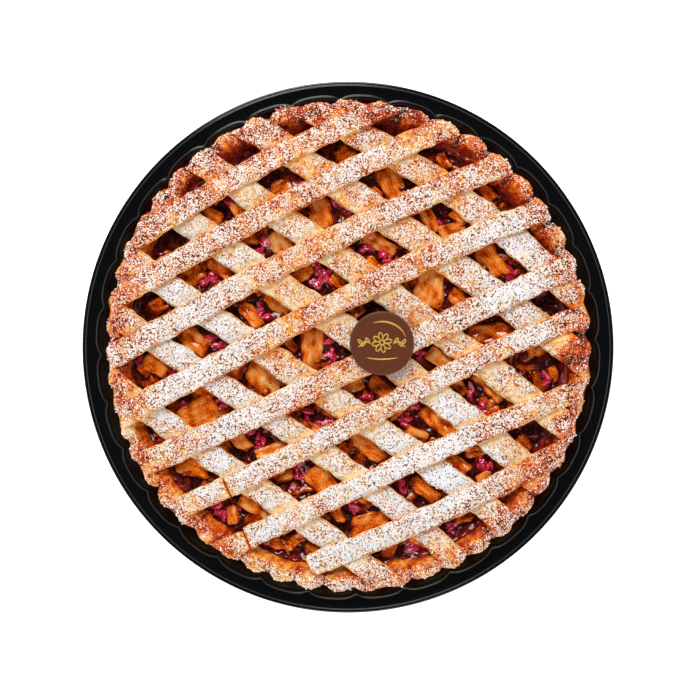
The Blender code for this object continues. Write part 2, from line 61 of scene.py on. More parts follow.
# The tray's middle in the plan picture, the picture's width and height, and the mm in one of its pixels.
PLAN_CENTRE = (348.0, 347.1)
PLAN_SIZE = 700
PLAN_SCALE = 305.0 / 531.5
# How high the camera stands, and how high the tray's rim, at which the scale holds.
VIEW_HEIGHT = 1600.0
RIM_LEVEL = 16.0


def on_plan(px: Array, py: Array, height: float) -> tuple[Array, Array]:
    """Turn plan pixels into millimetres on the level plane at a height.

    Args:
        px: Pixels to the right.
        py: Pixels down.
        height: The plane's height in mm.

    Returns:
        The x and y of the places in mm.
    """
    scale = PLAN_SCALE * (VIEW_HEIGHT - height) / (VIEW_HEIGHT - RIM_LEVEL)
    return (np.asarray(px) - PLAN_CENTRE[0]) * scale, (PLAN_CENTRE[1] - np.asarray(py)) * scale


def smoothstep(low: float, high: float, value: Array) -> Array:
    """0 below low, 1 above high, and the curve 3s² - 2s³ between."""
    share = np.clip((value - low) / (high - low), 0.0, 1.0)
    return share * share * (3.0 - 2.0 * share)


def ripple(points: Array, wavelength: float, seed: int) -> Array:
    """Smooth random relief with a mean of 0 and a spread of about 1.

    The formula is the sum of fourteen sine waves of random direction and phase, whose lengths lie
    within a third of the stated one, divided by the root of half their number.

    Args:
        points: Places in mm, with x, y and z on the last axis.
        wavelength: The waves' mean length in mm.
        seed: Picks the waves.

    Returns:
        One value for each place.
    """
    draw = np.random.default_rng(seed)
    count = 14
    direction = draw.normal(size=(count, 3))
    direction /= np.linalg.norm(direction, axis=1, keepdims=True)
    turns = math.tau / (wavelength * draw.uniform(0.7, 1.35, count))
    phase = draw.uniform(0, math.tau, count)
    waves = np.sin(points @ (direction * turns[:, None]).T + phase)
    return waves.sum(axis=-1) / math.sqrt(count / 2)


def soft_over(value: Array) -> Array:
    """The value where it is well above 0, easing to 0 where it is below: 0.05 ln(1 + e^(value/0.05))."""
    return 0.05 * np.logaddexp(0.0, value / 0.05)


def soften(values: Array, sigma: float) -> Array:
    """Blur a row of values with a bell curve of sigma samples, its ends held."""
    reach = int(3 * sigma)
    bell = np.exp(-0.5 * (np.arange(-reach, reach + 1) / sigma) ** 2)
    padded = np.concatenate((np.full(reach, values[0]), values, np.full(reach, values[-1])))
    return np.convolve(padded, bell / bell.sum(), mode="valid")


def srgb(code: str) -> tuple[float, float, float, float]:
    """Turn an sRGB hex colour into Blender's linear RGBA."""
    parts = [int(code[i:i + 2], 16) / 255 for i in (1, 3, 5)]
    linear = [c / 12.92 if c <= 0.04045 else ((c + 0.055) / 1.055) ** 2.4 for c in parts]
    return (*linear, 1.0)


def turned(reach: Array, angles: Array, height: Array) -> Array:
    """Points at a reach from the upright axis, at angles round it and at a height."""
    along = reach * np.cos(angles)
    return np.stack((along, reach * np.sin(angles), height + 0 * along), axis=-1)


def round_angles(count: int) -> Array:
    """Evenly spaced angles once round."""
    return np.linspace(0.0, math.tau, count, endpoint=False)


def sampled(control: Array, run: Array, places: Array) -> Array:
    """Read each column of a table off straight lines between its rows, at places along their run."""
    return np.column_stack([np.interp(places, run, column) for column in control.T])


def directions(rows: int, cols: int, pole_gap: float, crowding: float = 0.0) -> Array:
    """Unit vectors in rings from pole to pole, crowded towards the corners of a block if asked."""
    lift, around = np.linspace(-1.0, 1.0, rows)[:, None] * (math.pi / 2 - pole_gap), round_angles(cols)
    lift, around = (angle + crowding * np.sin(4 * angle) for angle in (lift, around))
    return turned(np.cos(lift), around, np.sin(lift))


def rotation(axis: int, angle: float) -> Array:
    """The matrix of a turn about x, y or z, which are axes 0, 1 and 2."""
    matrix = np.eye(3)
    first, second = (axis + 1) % 3, (axis + 2) % 3
    matrix[first, first] = matrix[second, second] = math.cos(angle)
    matrix[first, second], matrix[second, first] = -math.sin(angle), math.sin(angle)
    return matrix


@dataclass
class Surface:
    """A closed mesh in the making: its points in mm, its faces and its named point attributes."""
    points: Array
    quads: Array
    triangles: Array
    attributes: dict[str, Array] = field(default_factory=dict)


def closed_tube(grid: Array, attributes: dict[str, Array] | None = None) -> Surface:
    """Close a grid of points, whose rows are rings, with a fan at each end.

    Args:
        grid: Points with the shape (rings, points round a ring, 3).
        attributes: Values for each grid point, with the shape (rings, points) or (rings, points, 3).

    Returns:
        The closed surface, its faces pointing out.
    """
    rows, cols = grid.shape[:2]
    index = np.arange(rows * cols).reshape(rows, cols)
    after = np.roll(index, -1, axis=1)
    quads = np.stack((index[:-1], after[:-1], after[1:], index[1:]), axis=-1).reshape(-1, 4)
    first, last = rows * cols, rows * cols + 1
    start = np.stack((after[0], index[0], np.full(cols, first)), axis=-1)
    end = np.stack((index[-1], after[-1], np.full(cols, last)), axis=-1)
    triangles = np.concatenate((start, end))

    def with_ends(values: Array) -> Array:
        """The grid's values in one list, with the mean of the first and of the last ring after them."""
        flat = values.reshape(rows * cols, -1)
        ends = [values[end].reshape(cols, -1).mean(axis=0) for end in (0, -1)]
        return np.concatenate((flat, ends))

    points = with_ends(grid)
    if signed_volume(points, quads, triangles) < 0:
        quads, triangles = quads[:, ::-1], triangles[:, ::-1]
    named = {name: with_ends(np.asarray(values)) for name, values in (attributes or {}).items()}
    return Surface(points, quads, triangles, named)


def signed_volume(points: Array, quads: Array, triangles: Array) -> float:
    """Six times the volume inside the faces, below 0 where they point inwards."""
    halves = np.concatenate((quads[:, [0, 1, 2]], quads[:, [0, 2, 3]], triangles))
    a, b, c = (points[halves[:, i]] for i in range(3))
    return float(np.einsum("ij,ij->i", a, np.cross(b, c)).sum())


def joined(surfaces: list[Surface]) -> Surface:
    """Put several surfaces into one, with the attributes that they share."""
    counts = np.cumsum([0] + [len(surface.points) for surface in surfaces])
    quads = np.concatenate([s.quads + start for s, start in zip(surfaces, counts)])
    triangles = np.concatenate([s.triangles + start for s, start in zip(surfaces, counts)])
    points = np.concatenate([s.points for s in surfaces])
    names = surfaces[0].attributes
    attributes = {name: np.concatenate([s.attributes[name] for s in surfaces]) for name in names}
    return Surface(points, quads, triangles, attributes)


def add_piece(name: str, surface: Surface, material: bpy.types.Material,
              replaced: tuple[str, ...] = ()) -> bpy.types.Object:
    """Make a mesh object of a surface, and tell the frame what it is.

    Args:
        name: The object's name.
        surface: The closed surface in mm.
        material: The piece's finish.
        replaced: The CAD nodes that it stands for.

    Returns:
        The object, at the origin.
    """
    mesh = bpy.data.meshes.new(name)
    faces = surface.quads.tolist() + surface.triangles.tolist()
    mesh.from_pydata((surface.points * MM).tolist(), [], faces)
    for key, values in surface.attributes.items():
        kind, item = ("FLOAT", "value") if values.shape[1] == 1 else ("FLOAT_VECTOR", "vector")
        layer = mesh.attributes.new(key, kind, "POINT")
        layer.data.foreach_set(item, values.astype(np.float32).ravel())
    mesh.shade_smooth()
    mesh.materials.append(material)
    piece = bpy.data.objects.new(name, mesh)
    bpy.context.collection.objects.link(piece)
    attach(piece, "root")
    if replaced:
        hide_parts(*replaced)
    LOG.info("%s: %d faces", name, len(faces))
    return piece


def feed(tree: bpy.types.NodeTree, node: bpy.types.Node, inputs: dict) -> None:
    """Set a node's inputs, each found by its name or number, or link them to another node's output."""
    for key, value in inputs.items():
        if isinstance(value, Socket):
            tree.links.new(value, node.inputs[key])
        else:
            node.inputs[key].default_value = value


def add_node(tree: bpy.types.NodeTree, kind: str, inputs: dict | None = None, **settings) -> bpy.types.Node:
    """Add a shader node, give it its settings, and set or link its inputs.

    Args:
        tree: The node tree of a material or of the world.
        kind: Blender's name of the node type.
        inputs: A value or another node's output for each input, by name or number.
        settings: The node's own properties.

    Returns:
        The new node.
    """
    node = tree.nodes.new(kind)
    for key, value in settings.items():
        setattr(node, key, value)
    feed(tree, node, inputs or {})
    return node


def per_mm(size: float) -> float:
    """The texture scale, in object metres, of a pattern whose features are this many mm apart."""
    return 1.0 / (size * MM)


def map_range(tree: bpy.types.NodeTree, value: Socket, low: Value, high: Value, to_low: Value = 0.0,
              to_high: Value = 1.0, smooth: bool = False) -> Socket:
    """Turn a value between low and high into one between to_low and to_high, held at both ends."""
    inputs = {"Value": value, "From Min": low, "From Max": high, "To Min": to_low, "To Max": to_high}
    kind = "SMOOTHSTEP" if smooth else "LINEAR"
    return add_node(tree, "ShaderNodeMapRange", inputs, interpolation_type=kind).outputs[0]


class Finish:
    """A material in the making, with a short way to add each kind of node that leads to its shader."""

    def __init__(self, name: str) -> None:
        """Make an empty node material, whose patterns lie in the object's own metres."""
        self.material = bpy.data.materials.new(name)
        self.material.use_nodes = True
        self.tree = self.material.node_tree
        self.place = add_node(self.tree, "ShaderNodeTexCoord").outputs["Object"]

    def attribute(self, name: str, output: str = "Fac") -> Socket:
        """A named point attribute of the mesh."""
        return add_node(self.tree, "ShaderNodeAttribute", attribute_name=name).outputs[output]

    def noise(self, apart_mm: float, detail: float = 2.0, roughness: float = 0.5) -> Socket:
        """Cloudy noise whose features are apart_mm apart, with this much finer detail in it."""
        inputs = {"Vector": self.place, "Scale": per_mm(apart_mm), "Detail": detail, "Roughness": roughness}
        return add_node(self.tree, "ShaderNodeTexNoise", inputs).outputs["Fac"]

    def math(self, operation: str, *values: Value, clamp: bool = False) -> Socket:
        """The result of a math node on two or three values."""
        inputs = dict(enumerate(values))
        return add_node(self.tree, "ShaderNodeMath", inputs, operation=operation, use_clamp=clamp).outputs[0]

    def swing(self, noise: Socket, span: float) -> Socket:
        """Noise turned into a change about 0 that is at most half the span either way."""
        return self.math("MULTIPLY_ADD", noise, span, -span / 2)

    def remap(self, value: Socket, low: Value, high: Value, to_low: Value = 0.0, to_high: Value = 1.0,
              smooth: bool = False) -> Socket:
        """Turn a value between low and high into one between to_low and to_high, held at both ends."""
        return map_range(self.tree, value, low, high, to_low, to_high, smooth)

    def curve(self, value: Socket, points: tuple[tuple[float, float], ...]) -> Socket:
        """Read a value off straight lines between points."""
        node = add_node(self.tree, "ShaderNodeFloatCurve", {"Value": value})
        line = node.mapping.curves[0].points
        line[0].location, line[-1].location = points[0], points[-1]
        for place, height in points[1:-1]:
            line.new(place, height)
        for point in line:
            point.handle_type = "VECTOR"
        node.mapping.update()
        return node.outputs[0]

    def ramp(self, level: Socket, stops: Stops) -> Socket:
        """The colour at a level of a ramp, whose stops are each a place and a hex colour."""
        node = add_node(self.tree, "ShaderNodeValToRGB", {"Fac": level})
        elements = node.color_ramp.elements
        while len(elements) < len(stops):
            elements.new(1.0)
        for element, (place, code) in zip(elements, stops):
            element.position = place
            element.color = srgb(code)
        return node.outputs["Color"]

    def mix(self, share: Socket, first: Socket | str, second: Socket | str, blend: str = "MIX") -> Socket:
        """Two colours, each a node's output or a hex colour, mixed by the share of the second."""
        first, second = (srgb(colour) if isinstance(colour, str) else colour for colour in (first, second))
        return add_node(self.tree, "ShaderNodeMix", {"Factor": share, 6: first, 7: second}, data_type="RGBA",
                        blend_type=blend).outputs[2]

    def bump(self, height: Socket, strength: float, depth_mm: float) -> Socket:
        """The normal of a relief that is depth_mm deep."""
        inputs = {"Height": height, "Strength": strength, "Distance": depth_mm * MM}
        return add_node(self.tree, "ShaderNodeBump", inputs).outputs["Normal"]

    def done(self, inputs: dict) -> bpy.types.Material:
        """Set or link the Principled shader's inputs, and return the material."""
        feed(self.tree, self.tree.nodes["Principled BSDF"], inputs)
        return self.material


def scattering(weight: float, depths: tuple[float, float, float], scale_mm: float) -> dict:
    """The shader inputs of light that goes into a surface: its share, and how deep each colour goes."""
    return {"Subsurface Weight": weight, "Subsurface Radius": depths, "Subsurface Scale": scale_mm * MM}


def syrup(roughness: float, ior: float) -> dict:
    """The shader inputs of a thin clear coat of syrup."""
    return {"Coat Weight": 1.0, "Coat Roughness": roughness, "Coat IOR": ior}


@dataclass(frozen=True)
class DustedPastry:
    """Short pastry, baked and dusted with icing sugar.

    Butter pastry bakes from cream through golden orange to brown, unevenly over a few mm, and more
    evenly where it is bare. The sugar is sieved on afterwards: grains of under a millimetre that clot
    into white flecks, dense in places and sparse in others, with the crust showing between them. It
    looks warmer on browner pastry, and the gaps between dense grains are in shade. The attribute bake
    runs from 0, cream, to 1, brown, and sugar from 0, bare, to 1, solid white.
    """
    name: str = "short_pastry_baked_and_sugared"
    mottle_mm: float = 6.0
    crumb_mm: float = 2.3
    pit_mm: float = 0.9
    fleck_mm: float = 2.0
    grain_mm: float = 0.9
    relief_mm: float = 0.6
    browning: Stops = ((0.0, "#F8DEAE"), (0.2, "#F0C078"), (0.38, "#E89A36"), (0.54, "#DA6012"),
                       (0.74, "#A82C04"), (1.0, "#401004"))
    # How far the mottle and the crumb shift the browning, and what share of that bare pastry keeps.
    mottle_span: float = 1.15
    crumb_span: float = 0.9
    bare_share: float = 0.5
    # How much browner the small pits are, and how much browner the gaps between dense grains are, as painted
    # shade.
    pit_brown: float = 0.3
    gap_shade: float = 0.1
    sugar: str = "#ECEDF6"
    sugar_warm: str = "#FADAB2"
    # How dark it is between dense grains, on pale and on brown pastry, and in what tint.
    shadow: tuple[float, float] = (1.1, 2.0)
    shadow_tint: str = "#6A564A"
    # The level that the flecks must pass, for a share of the surface covered, and how soft their edge is.
    cover: tuple[tuple[float, float], ...] = (
        (0.0, 0.9), (0.03, 0.582), (0.1, 0.467), (0.3, 0.316), (0.5, 0.21), (0.7, 0.106), (0.9, -0.039),
        (1.0, -0.3))
    fleck_edge: float = 0.07

    def build(self) -> bpy.types.Material:
        """Return the material."""
        finish = Finish(self.name)
        bake, sugar = finish.attribute("bake"), finish.attribute("sugar")
        crumb = finish.noise(self.crumb_mm)
        mottle = finish.swing(finish.noise(self.mottle_mm, 3.0, 0.55), self.mottle_span)
        mixed = finish.math("ADD", mottle, finish.swing(crumb, self.crumb_span))
        shift = finish.math("MULTIPLY", mixed, finish.remap(sugar, 0.0, 0.35, self.bare_share))
        pits = finish.remap(finish.noise(self.pit_mm, 1.0), 0.58, 0.68, 0.0, self.pit_brown, smooth=True)
        grain = add_node(finish.tree, "ShaderNodeTexVoronoi",
                         {"Vector": finish.place, "Scale": per_mm(self.grain_mm)})
        seams = finish.remap(grain.outputs["Distance"], 0.45, 0.75, smooth=True)
        # The gaps between dense grains get painted shade: their pastry is made browner, then darkened by the
        # shadow tint.
        between = finish.math("MULTIPLY", seams, sugar)
        base = finish.math("ADD", shift, finish.math("MULTIPLY_ADD", between, self.gap_shade, pits))
        level = finish.math("ADD", base, bake, clamp=True)
        depth = finish.math("MULTIPLY", between, finish.remap(level, 0.15, 0.6, *self.shadow), clamp=True)
        dough = finish.mix(depth, finish.ramp(level, self.browning), self.shadow_tint, "MULTIPLY")

        drift = finish.math("MULTIPLY_ADD", finish.noise(self.fleck_mm, 2.0, 0.6), 0.6, 0.15)
        lean = finish.math("MULTIPLY_ADD", grain.outputs["Color"], 0.5, drift)
        raised = finish.math("MULTIPLY_ADD", grain.outputs["Distance"], -0.9, lean)
        bare = finish.curve(sugar, self.cover)
        cover = finish.remap(raised, bare, finish.math("ADD", bare, self.fleck_edge), smooth=True)
        flecks = finish.math("MULTIPLY", cover, finish.remap(sugar, 0.15, 0.55, 0.72))
        veil = finish.remap(sugar, 0.3, 0.8, 0.0, 0.05)
        white = finish.math("MAXIMUM", flecks, veil, clamp=True)
        warmth = finish.remap(finish.math("ADD", shift, bake), 0.15, 0.85)
        powder = finish.mix(warmth, self.sugar, self.sugar_warm)
        relief = finish.math("MULTIPLY_ADD", white, 0.7, crumb)
        return finish.done({
            "Base Color": finish.mix(white, dough, powder),
            "Roughness": finish.remap(white, 0.0, 1.0, 0.55, 0.95),
            "Normal": finish.bump(relief, 0.8, self.relief_mm),
            "Specular IOR Level": 0.12,
            **scattering(0.06, (1.0, 0.6, 0.35), 1.2),
        })


@dataclass(frozen=True)
class GlazedApple:
    """Apple cooked in sugar: cut flesh, golden to brown, streaked along the cut and wet with syrup.

    The attribute shade runs from 0, stewed brown, to 1, bright gold, and it carries painted light and
    shade: lighter on the pieces' tops and raised relief, darker on their lower sides and edges. The
    attribute cut holds each piece's own coordinates in mm, along, across and up, so that the streaks
    follow its length.
    """
    name: str = "cooked_apple_in_syrup"
    streak_mm: float = 1.5
    stain_mm: float = 3.0
    pore_mm: float = 0.85
    relief_mm: float = 0.8
    # How far the streaks, the stains and the pores shift the shade.
    spans: tuple[float, float, float] = (0.34, 0.28, 0.76)
    # How long the streaks' waves are along, across and up the piece, as parts of one wave to streak_mm.
    stretch: tuple[float, float, float] = (0.12, 1.0, 0.5)
    flesh: Stops = ((0.0, "#160202"), (0.2, "#500E02"), (0.42, "#BC3E04"), (0.64, "#FC7E14"),
                    (1.0, "#FFC878"))

    def build(self) -> bpy.types.Material:
        """Return the material."""
        finish = Finish(self.name)
        scale = tuple(part / self.streak_mm for part in self.stretch)
        own = finish.attribute("cut", "Vector")
        cut = add_node(finish.tree, "ShaderNodeMapping", {"Vector": own, "Scale": scale})
        streak = add_node(finish.tree, "ShaderNodeTexNoise",
                          {"Vector": cut.outputs[0], "Scale": 1.0, "Detail": 3.0}).outputs["Fac"]
        stain, pores = finish.noise(self.stain_mm, 4.0, 0.6), finish.noise(self.pore_mm)
        lines, blots, speckle = map(finish.swing, (streak, stain, pores), self.spans)
        mixed = finish.math("ADD", finish.math("ADD", lines, blots), speckle)
        level = finish.math("ADD", mixed, finish.attribute("shade"), clamp=True)
        return finish.done({
            "Base Color": finish.ramp(level, self.flesh),
            "Normal": finish.bump(finish.math("ADD", streak, pores), 0.9, self.relief_mm),
            "Roughness": 0.4,
            "Specular IOR Level": 0.0,
            **syrup(0.05, 1.4),
            **scattering(0.1, (2.5, 0.8, 0.2), 1.0),
        })


@dataclass(frozen=True)
class WetFruit:
    """Soft fruit or thick sauce with a wet skin: mottled dark to bright, glossy, with small glints.

    The attribute thin, where a piece has it, runs to 1 where the sauce is a film and so brighter.
    Sugar caught on the wet skin shows in pinkish grains 0.9 mm apart, in falls about 9 mm apart.
    """
    name: str
    colours: Stops
    mottle_mm: float
    dimple_mm: float
    roughness: float
    specular: float
    bump_mm: float
    scatter: float
    coat_ior: float = 1.4
    sugared: float = 0.0
    sugar: str = "#FFE0EC"
    fall_mm: float = 9.0
    grain_mm: float = 0.9

    def build(self) -> bpy.types.Material:
        """Return the material."""
        finish = Finish(self.name)
        mottle = finish.math("ADD", finish.attribute("thin"), finish.noise(self.mottle_mm, 3.0, 0.6))
        skin = finish.ramp(finish.remap(mottle, 0.3, 0.7), self.colours)
        fall, grain = finish.noise(self.fall_mm, 0.0), finish.noise(self.grain_mm, 1.0)
        heap = finish.math("MULTIPLY_ADD", fall, 0.8, grain)
        caught = finish.remap(heap, 1.1, 1.16, 0.0, self.sugared)
        return finish.done({
            "Base Color": finish.mix(caught, skin, self.sugar),
            "Normal": finish.bump(finish.noise(self.dimple_mm), 0.9, self.bump_mm),
            "Roughness": self.roughness,
            "Specular IOR Level": self.specular,
            **syrup(0.04, self.coat_ior),
            **scattering(self.scatter, (2.0, 0.4, 0.3), 1.0),
        })


@dataclass(frozen=True)
class PlainFinish:
    """A finish of nearly one colour: chocolate, gold print or sugar grains.

    The surface is uneven by a slight change of roughness and by a shallow relief at one stated size.
    """
    name: str
    colour: str
    second: str
    roughness: tuple[float, float]
    relief_mm: float
    relief_depth_mm: float
    metallic: float = 0.0
    specular: float = 0.5

    def build(self) -> bpy.types.Material:
        """Return the material."""
        finish = Finish(self.name)
        uneven = finish.noise(self.relief_mm, 3.0)
        return finish.done({
            "Base Color": finish.mix(uneven, self.colour, self.second),
            "Roughness": finish.remap(uneven, 0.3, 0.7, *self.roughness),
            "Normal": finish.bump(uneven, 0.5, self.relief_depth_mm),
            "Metallic": self.metallic,
            "Specular IOR Level": self.specular,
        })


@dataclass(frozen=True)
class FormedPlastic:
    """Black polystyrene sheet, vacuum formed over a mould.

    The flat rim keeps the sheet's mirror gloss, with a faint ripple about 9 mm long. The walls of the
    well were stretched, which leaves them satin; their lighter, bluish grey is painted sheen, which also
    offsets the brown light that the crust throws on them.
    """
    name: str = "formed_black_polystyrene"
    gloss: tuple[str, float] = ("#07080A", 0.10)
    # The walls' satin roughness, and their lighter, bluish grey as painted sheen.
    satin_painted_sheen: tuple[str, float] = ("#1E2128", 0.45)
    ripple_mm: float = 9.0
    ripple_depth_mm: float = 0.05
    stretched_below_mm: tuple[float, float] = (12.5, 15.2)

    def build(self) -> bpy.types.Material:
        """Return the material."""
        finish = Finish(self.name)
        height = add_node(finish.tree, "ShaderNodeSeparateXYZ", {"Vector": finish.place}).outputs["Z"]
        flat = finish.remap(height, *(level * MM for level in self.stretched_below_mm), smooth=True)
        wave = finish.noise(self.ripple_mm, 3.0)
        rough = finish.remap(flat, 0.0, 1.0, self.satin_painted_sheen[1], self.gloss[1])
        return finish.done({
            "Base Color": finish.mix(flat, self.satin_painted_sheen[0], self.gloss[0]),
            "Roughness": finish.math("MULTIPLY_ADD", wave, 0.06, rough),
            "Normal": finish.bump(wave, 0.5, self.ripple_depth_mm),
        })


# Simmered fruit juice, thickened and nearly black in the deep gaps, wine-brown where it thins.
SAUCE = WetFruit("thickened_fruit_sauce", ((0.0, "#140101"), (0.5, "#380405"), (1.0, "#8A1C12")),
                 mottle_mm=3.0, dimple_mm=1.0, roughness=0.5, specular=0.05, bump_mm=0.9, scatter=0.0)
# The same sauce with the pulp of burst berries in it: lumpy, dark wine-red.
PULP = WetFruit("burst_berry_pulp", ((0.0, "#1C0104"), (0.5, "#5E0614"), (1.0, "#A81832")),
                mottle_mm=1.6, dimple_mm=0.7, roughness=0.4, specular=0.1, bump_mm=0.5, scatter=0.0,
                coat_ior=1.5)
# Cooked red berries: burst, crimson to pink, with the syrup's glints on every bump.
BERRY = WetFruit("cooked_red_berry",
                 ((0.0, "#54000F"), (0.35, "#B4042E"), (0.65, "#F0185A"), (1.0, "#FF6496")),
                 mottle_mm=1.8, dimple_mm=1.3, roughness=0.2, specular=0.4, bump_mm=0.2, scatter=0.04,
                 coat_ior=1.65, sugared=0.75)
# Milk chocolate, cast in a flat mould: satin, with slight bloom.
CHOCOLATE = PlainFinish("moulded_milk_chocolate", "#542811", "#5E2F19", (0.36, 0.48), relief_mm=2.5,
                        relief_depth_mm=0.05, specular=0.3)
# Edible gold transferred on to the chocolate: thin metal that catches the light.
GOLD = PlainFinish("gold_transfer", "#EBBE5A", "#CB9A3C", (0.35, 0.5), relief_mm=1.2,
                   relief_depth_mm=0.03, metallic=0.6)
# Loose clots of icing sugar: chalk-white and quite matt.
SUGAR = PlainFinish("icing_sugar", "#FCFAF7", "#F1ECE6", (0.9, 0.98), relief_mm=0.4, relief_depth_mm=0.05)


@dataclass(frozen=True)
class Patch:
    """A round patch on the plan, in pixels, where there is more or less of something."""
    px: float
    py: float
    radius: float
    amount: float


def patch_rows(*rows: tuple[float, float, float, float]) -> tuple[Patch, ...]:
    """Make a patch of each row of numbers."""
    return tuple(Patch(*row) for row in rows)


@dataclass(frozen=True)
class Dusting:
    """How densely the sugar lies over the tart, and how brown the pastry is under it.

    The sugar covers mean of a surface, at most most, and rim_loss less on the rim, where it slid
    off. The pastry is browner than its own colour by browner. The patches add to both; the wide pale
    patches at the bottom and the left of the rim are painted light, where the lamps light it less.
    """
    mean: float = 0.341
    most: float = 0.84
    rim_loss: float = 0.04
    browner: float = 0.045
    patch_height: float = 30.0
    sugared: tuple[Patch, ...] = patch_rows(
        (500, 297, 62, 0.30), (525, 255, 32, 0.30), (440, 450, 62, 0.32), (455, 482, 30, 0.2),
        (150, 345, 55, 0.20), (215, 325, 50, 0.22), (175, 388, 50, 0.24), (240, 405, 50, 0.2),
        (250, 262, 50, 0.12), (262, 540, 26, 0.3), (340, 558, 40, 0.3), (500, 225, 40, 0.15),
        (240, 165, 60, -0.10), (300, 104, 36, -0.12), (400, 108, 40, -0.12), (480, 150, 30, -0.08),
        (520, 190, 24, -0.08), (578, 370, 45, -0.10), (552, 470, 45, -0.14), (160, 480, 30, -0.1),
        (210, 545, 26, -0.15), (115, 300, 25, -0.12), (420, 250, 40, -0.06), (390, 300, 40, -0.1),
        (278, 278, 36, -0.16), (300, 325, 34, -0.08), (240, 468, 44, 0.14), (325, 472, 44, 0.14),
        (385, 520, 34, 0.12), (130, 385, 26, -0.20), (375, 335, 36, 0.12), (425, 480, 32, 0.14),
        (272, 425, 34, 0.10), (475, 325, 30, -0.08), (575, 340, 26, -0.10), (250, 125, 50, 0.12),
        (475, 125, 30, 0.08), (225, 175, 30, 0.08), (425, 175, 28, 0.08), (175, 225, 28, 0.12),
        (475, 225, 26, -0.07), (525, 325, 26, 0.17), (425, 475, 28, 0.11), (200, 475, 34, 0.11),
        (575, 475, 28, 0.14), (175, 525, 30, 0.11), (425, 525, 26, 0.07), (120, 220, 24, 0.08),
        (350, 140, 45, 0.08), (395, 185, 40, 0.06), (425, 225, 28, 0.06), (490, 165, 36, 0.06),
        (372, 260, 40, 0.08), (150, 345, 30, -0.08), (275, 125, 24, 0.06), (125, 475, 26, 0.13),
        (175, 275, 30, 0.11), (125, 275, 20, 0.07), (225, 475, 30, 0.06), (425, 525, 28, 0.06),
        (340, 485, 120, 0.05), (565, 425, 36, 0.08), (200, 232, 36, 0.07), (375, 325, 26, 0.07),
        (350, 118, 56, 0.05), (585, 300, 30, 0.06))
    # Patches of browning. The pale ones at the bottom and the left of the rim are painted light, making up
    # for the weaker lighting there.
    browning_and_painted_light: tuple[Patch, ...] = patch_rows(
        (230, 150, 70, 0.03), (310, 95, 40, 0.07), (440, 115, 40, 0.05), (580, 360, 60, 0.08),
        (540, 470, 60, 0.08), (400, 240, 70, 0.03), (440, 450, 70, -0.06), (190, 350, 70, -0.05),
        (230, 250, 80, -0.06), (290, 590, 110, -0.15), (115, 430, 70, -0.11), (470, 570, 50, -0.05),
        (495, 165, 45, -0.08), (280, 575, 50, -0.08), (350, 590, 140, -0.08), (580, 425, 50, -0.06),
        (125, 440, 50, -0.08), (175, 530, 50, -0.04))

    def amount(self, patches: tuple[Patch, ...], x: Array, y: Array) -> Array:
        """Sum the patches, each a bell curve of its distance, at places in mm."""
        total = np.zeros(np.shape(x))
        for patch in patches:
            at_x, at_y = on_plan(patch.px, patch.py, self.patch_height)
            width = patch.radius * PLAN_SCALE
            total += patch.amount * np.exp(-((x - at_x) ** 2 + (y - at_y) ** 2) / width ** 2)
        return total

    def sugar(self, points: Array) -> Array:
        """The share of the surface that the sugar covers, with drifts about 24 and 8 mm long."""
        drift = 0.06 * ripple(points, 24.0, 31) + 0.05 * ripple(points, 8.0, 32)
        slid = self.rim_loss * smoothstep(114.0, 134.0, np.hypot(points[..., 0], points[..., 1]))
        total = self.mean + drift - slid + self.amount(self.sugared, points[..., 0], points[..., 1])
        return self.most - soft_over(self.most - total)

    def bake(self, points: Array) -> Array:
        """How much browner the pastry is at each point, unevenly over about 30 and 12 mm."""
        uneven = 0.065 * ripple(points, 30.0, 33) + 0.05 * ripple(points, 12.0, 35)
        return self.browner + uneven + self.amount(self.browning_and_painted_light, points[..., 0], points[..., 1])


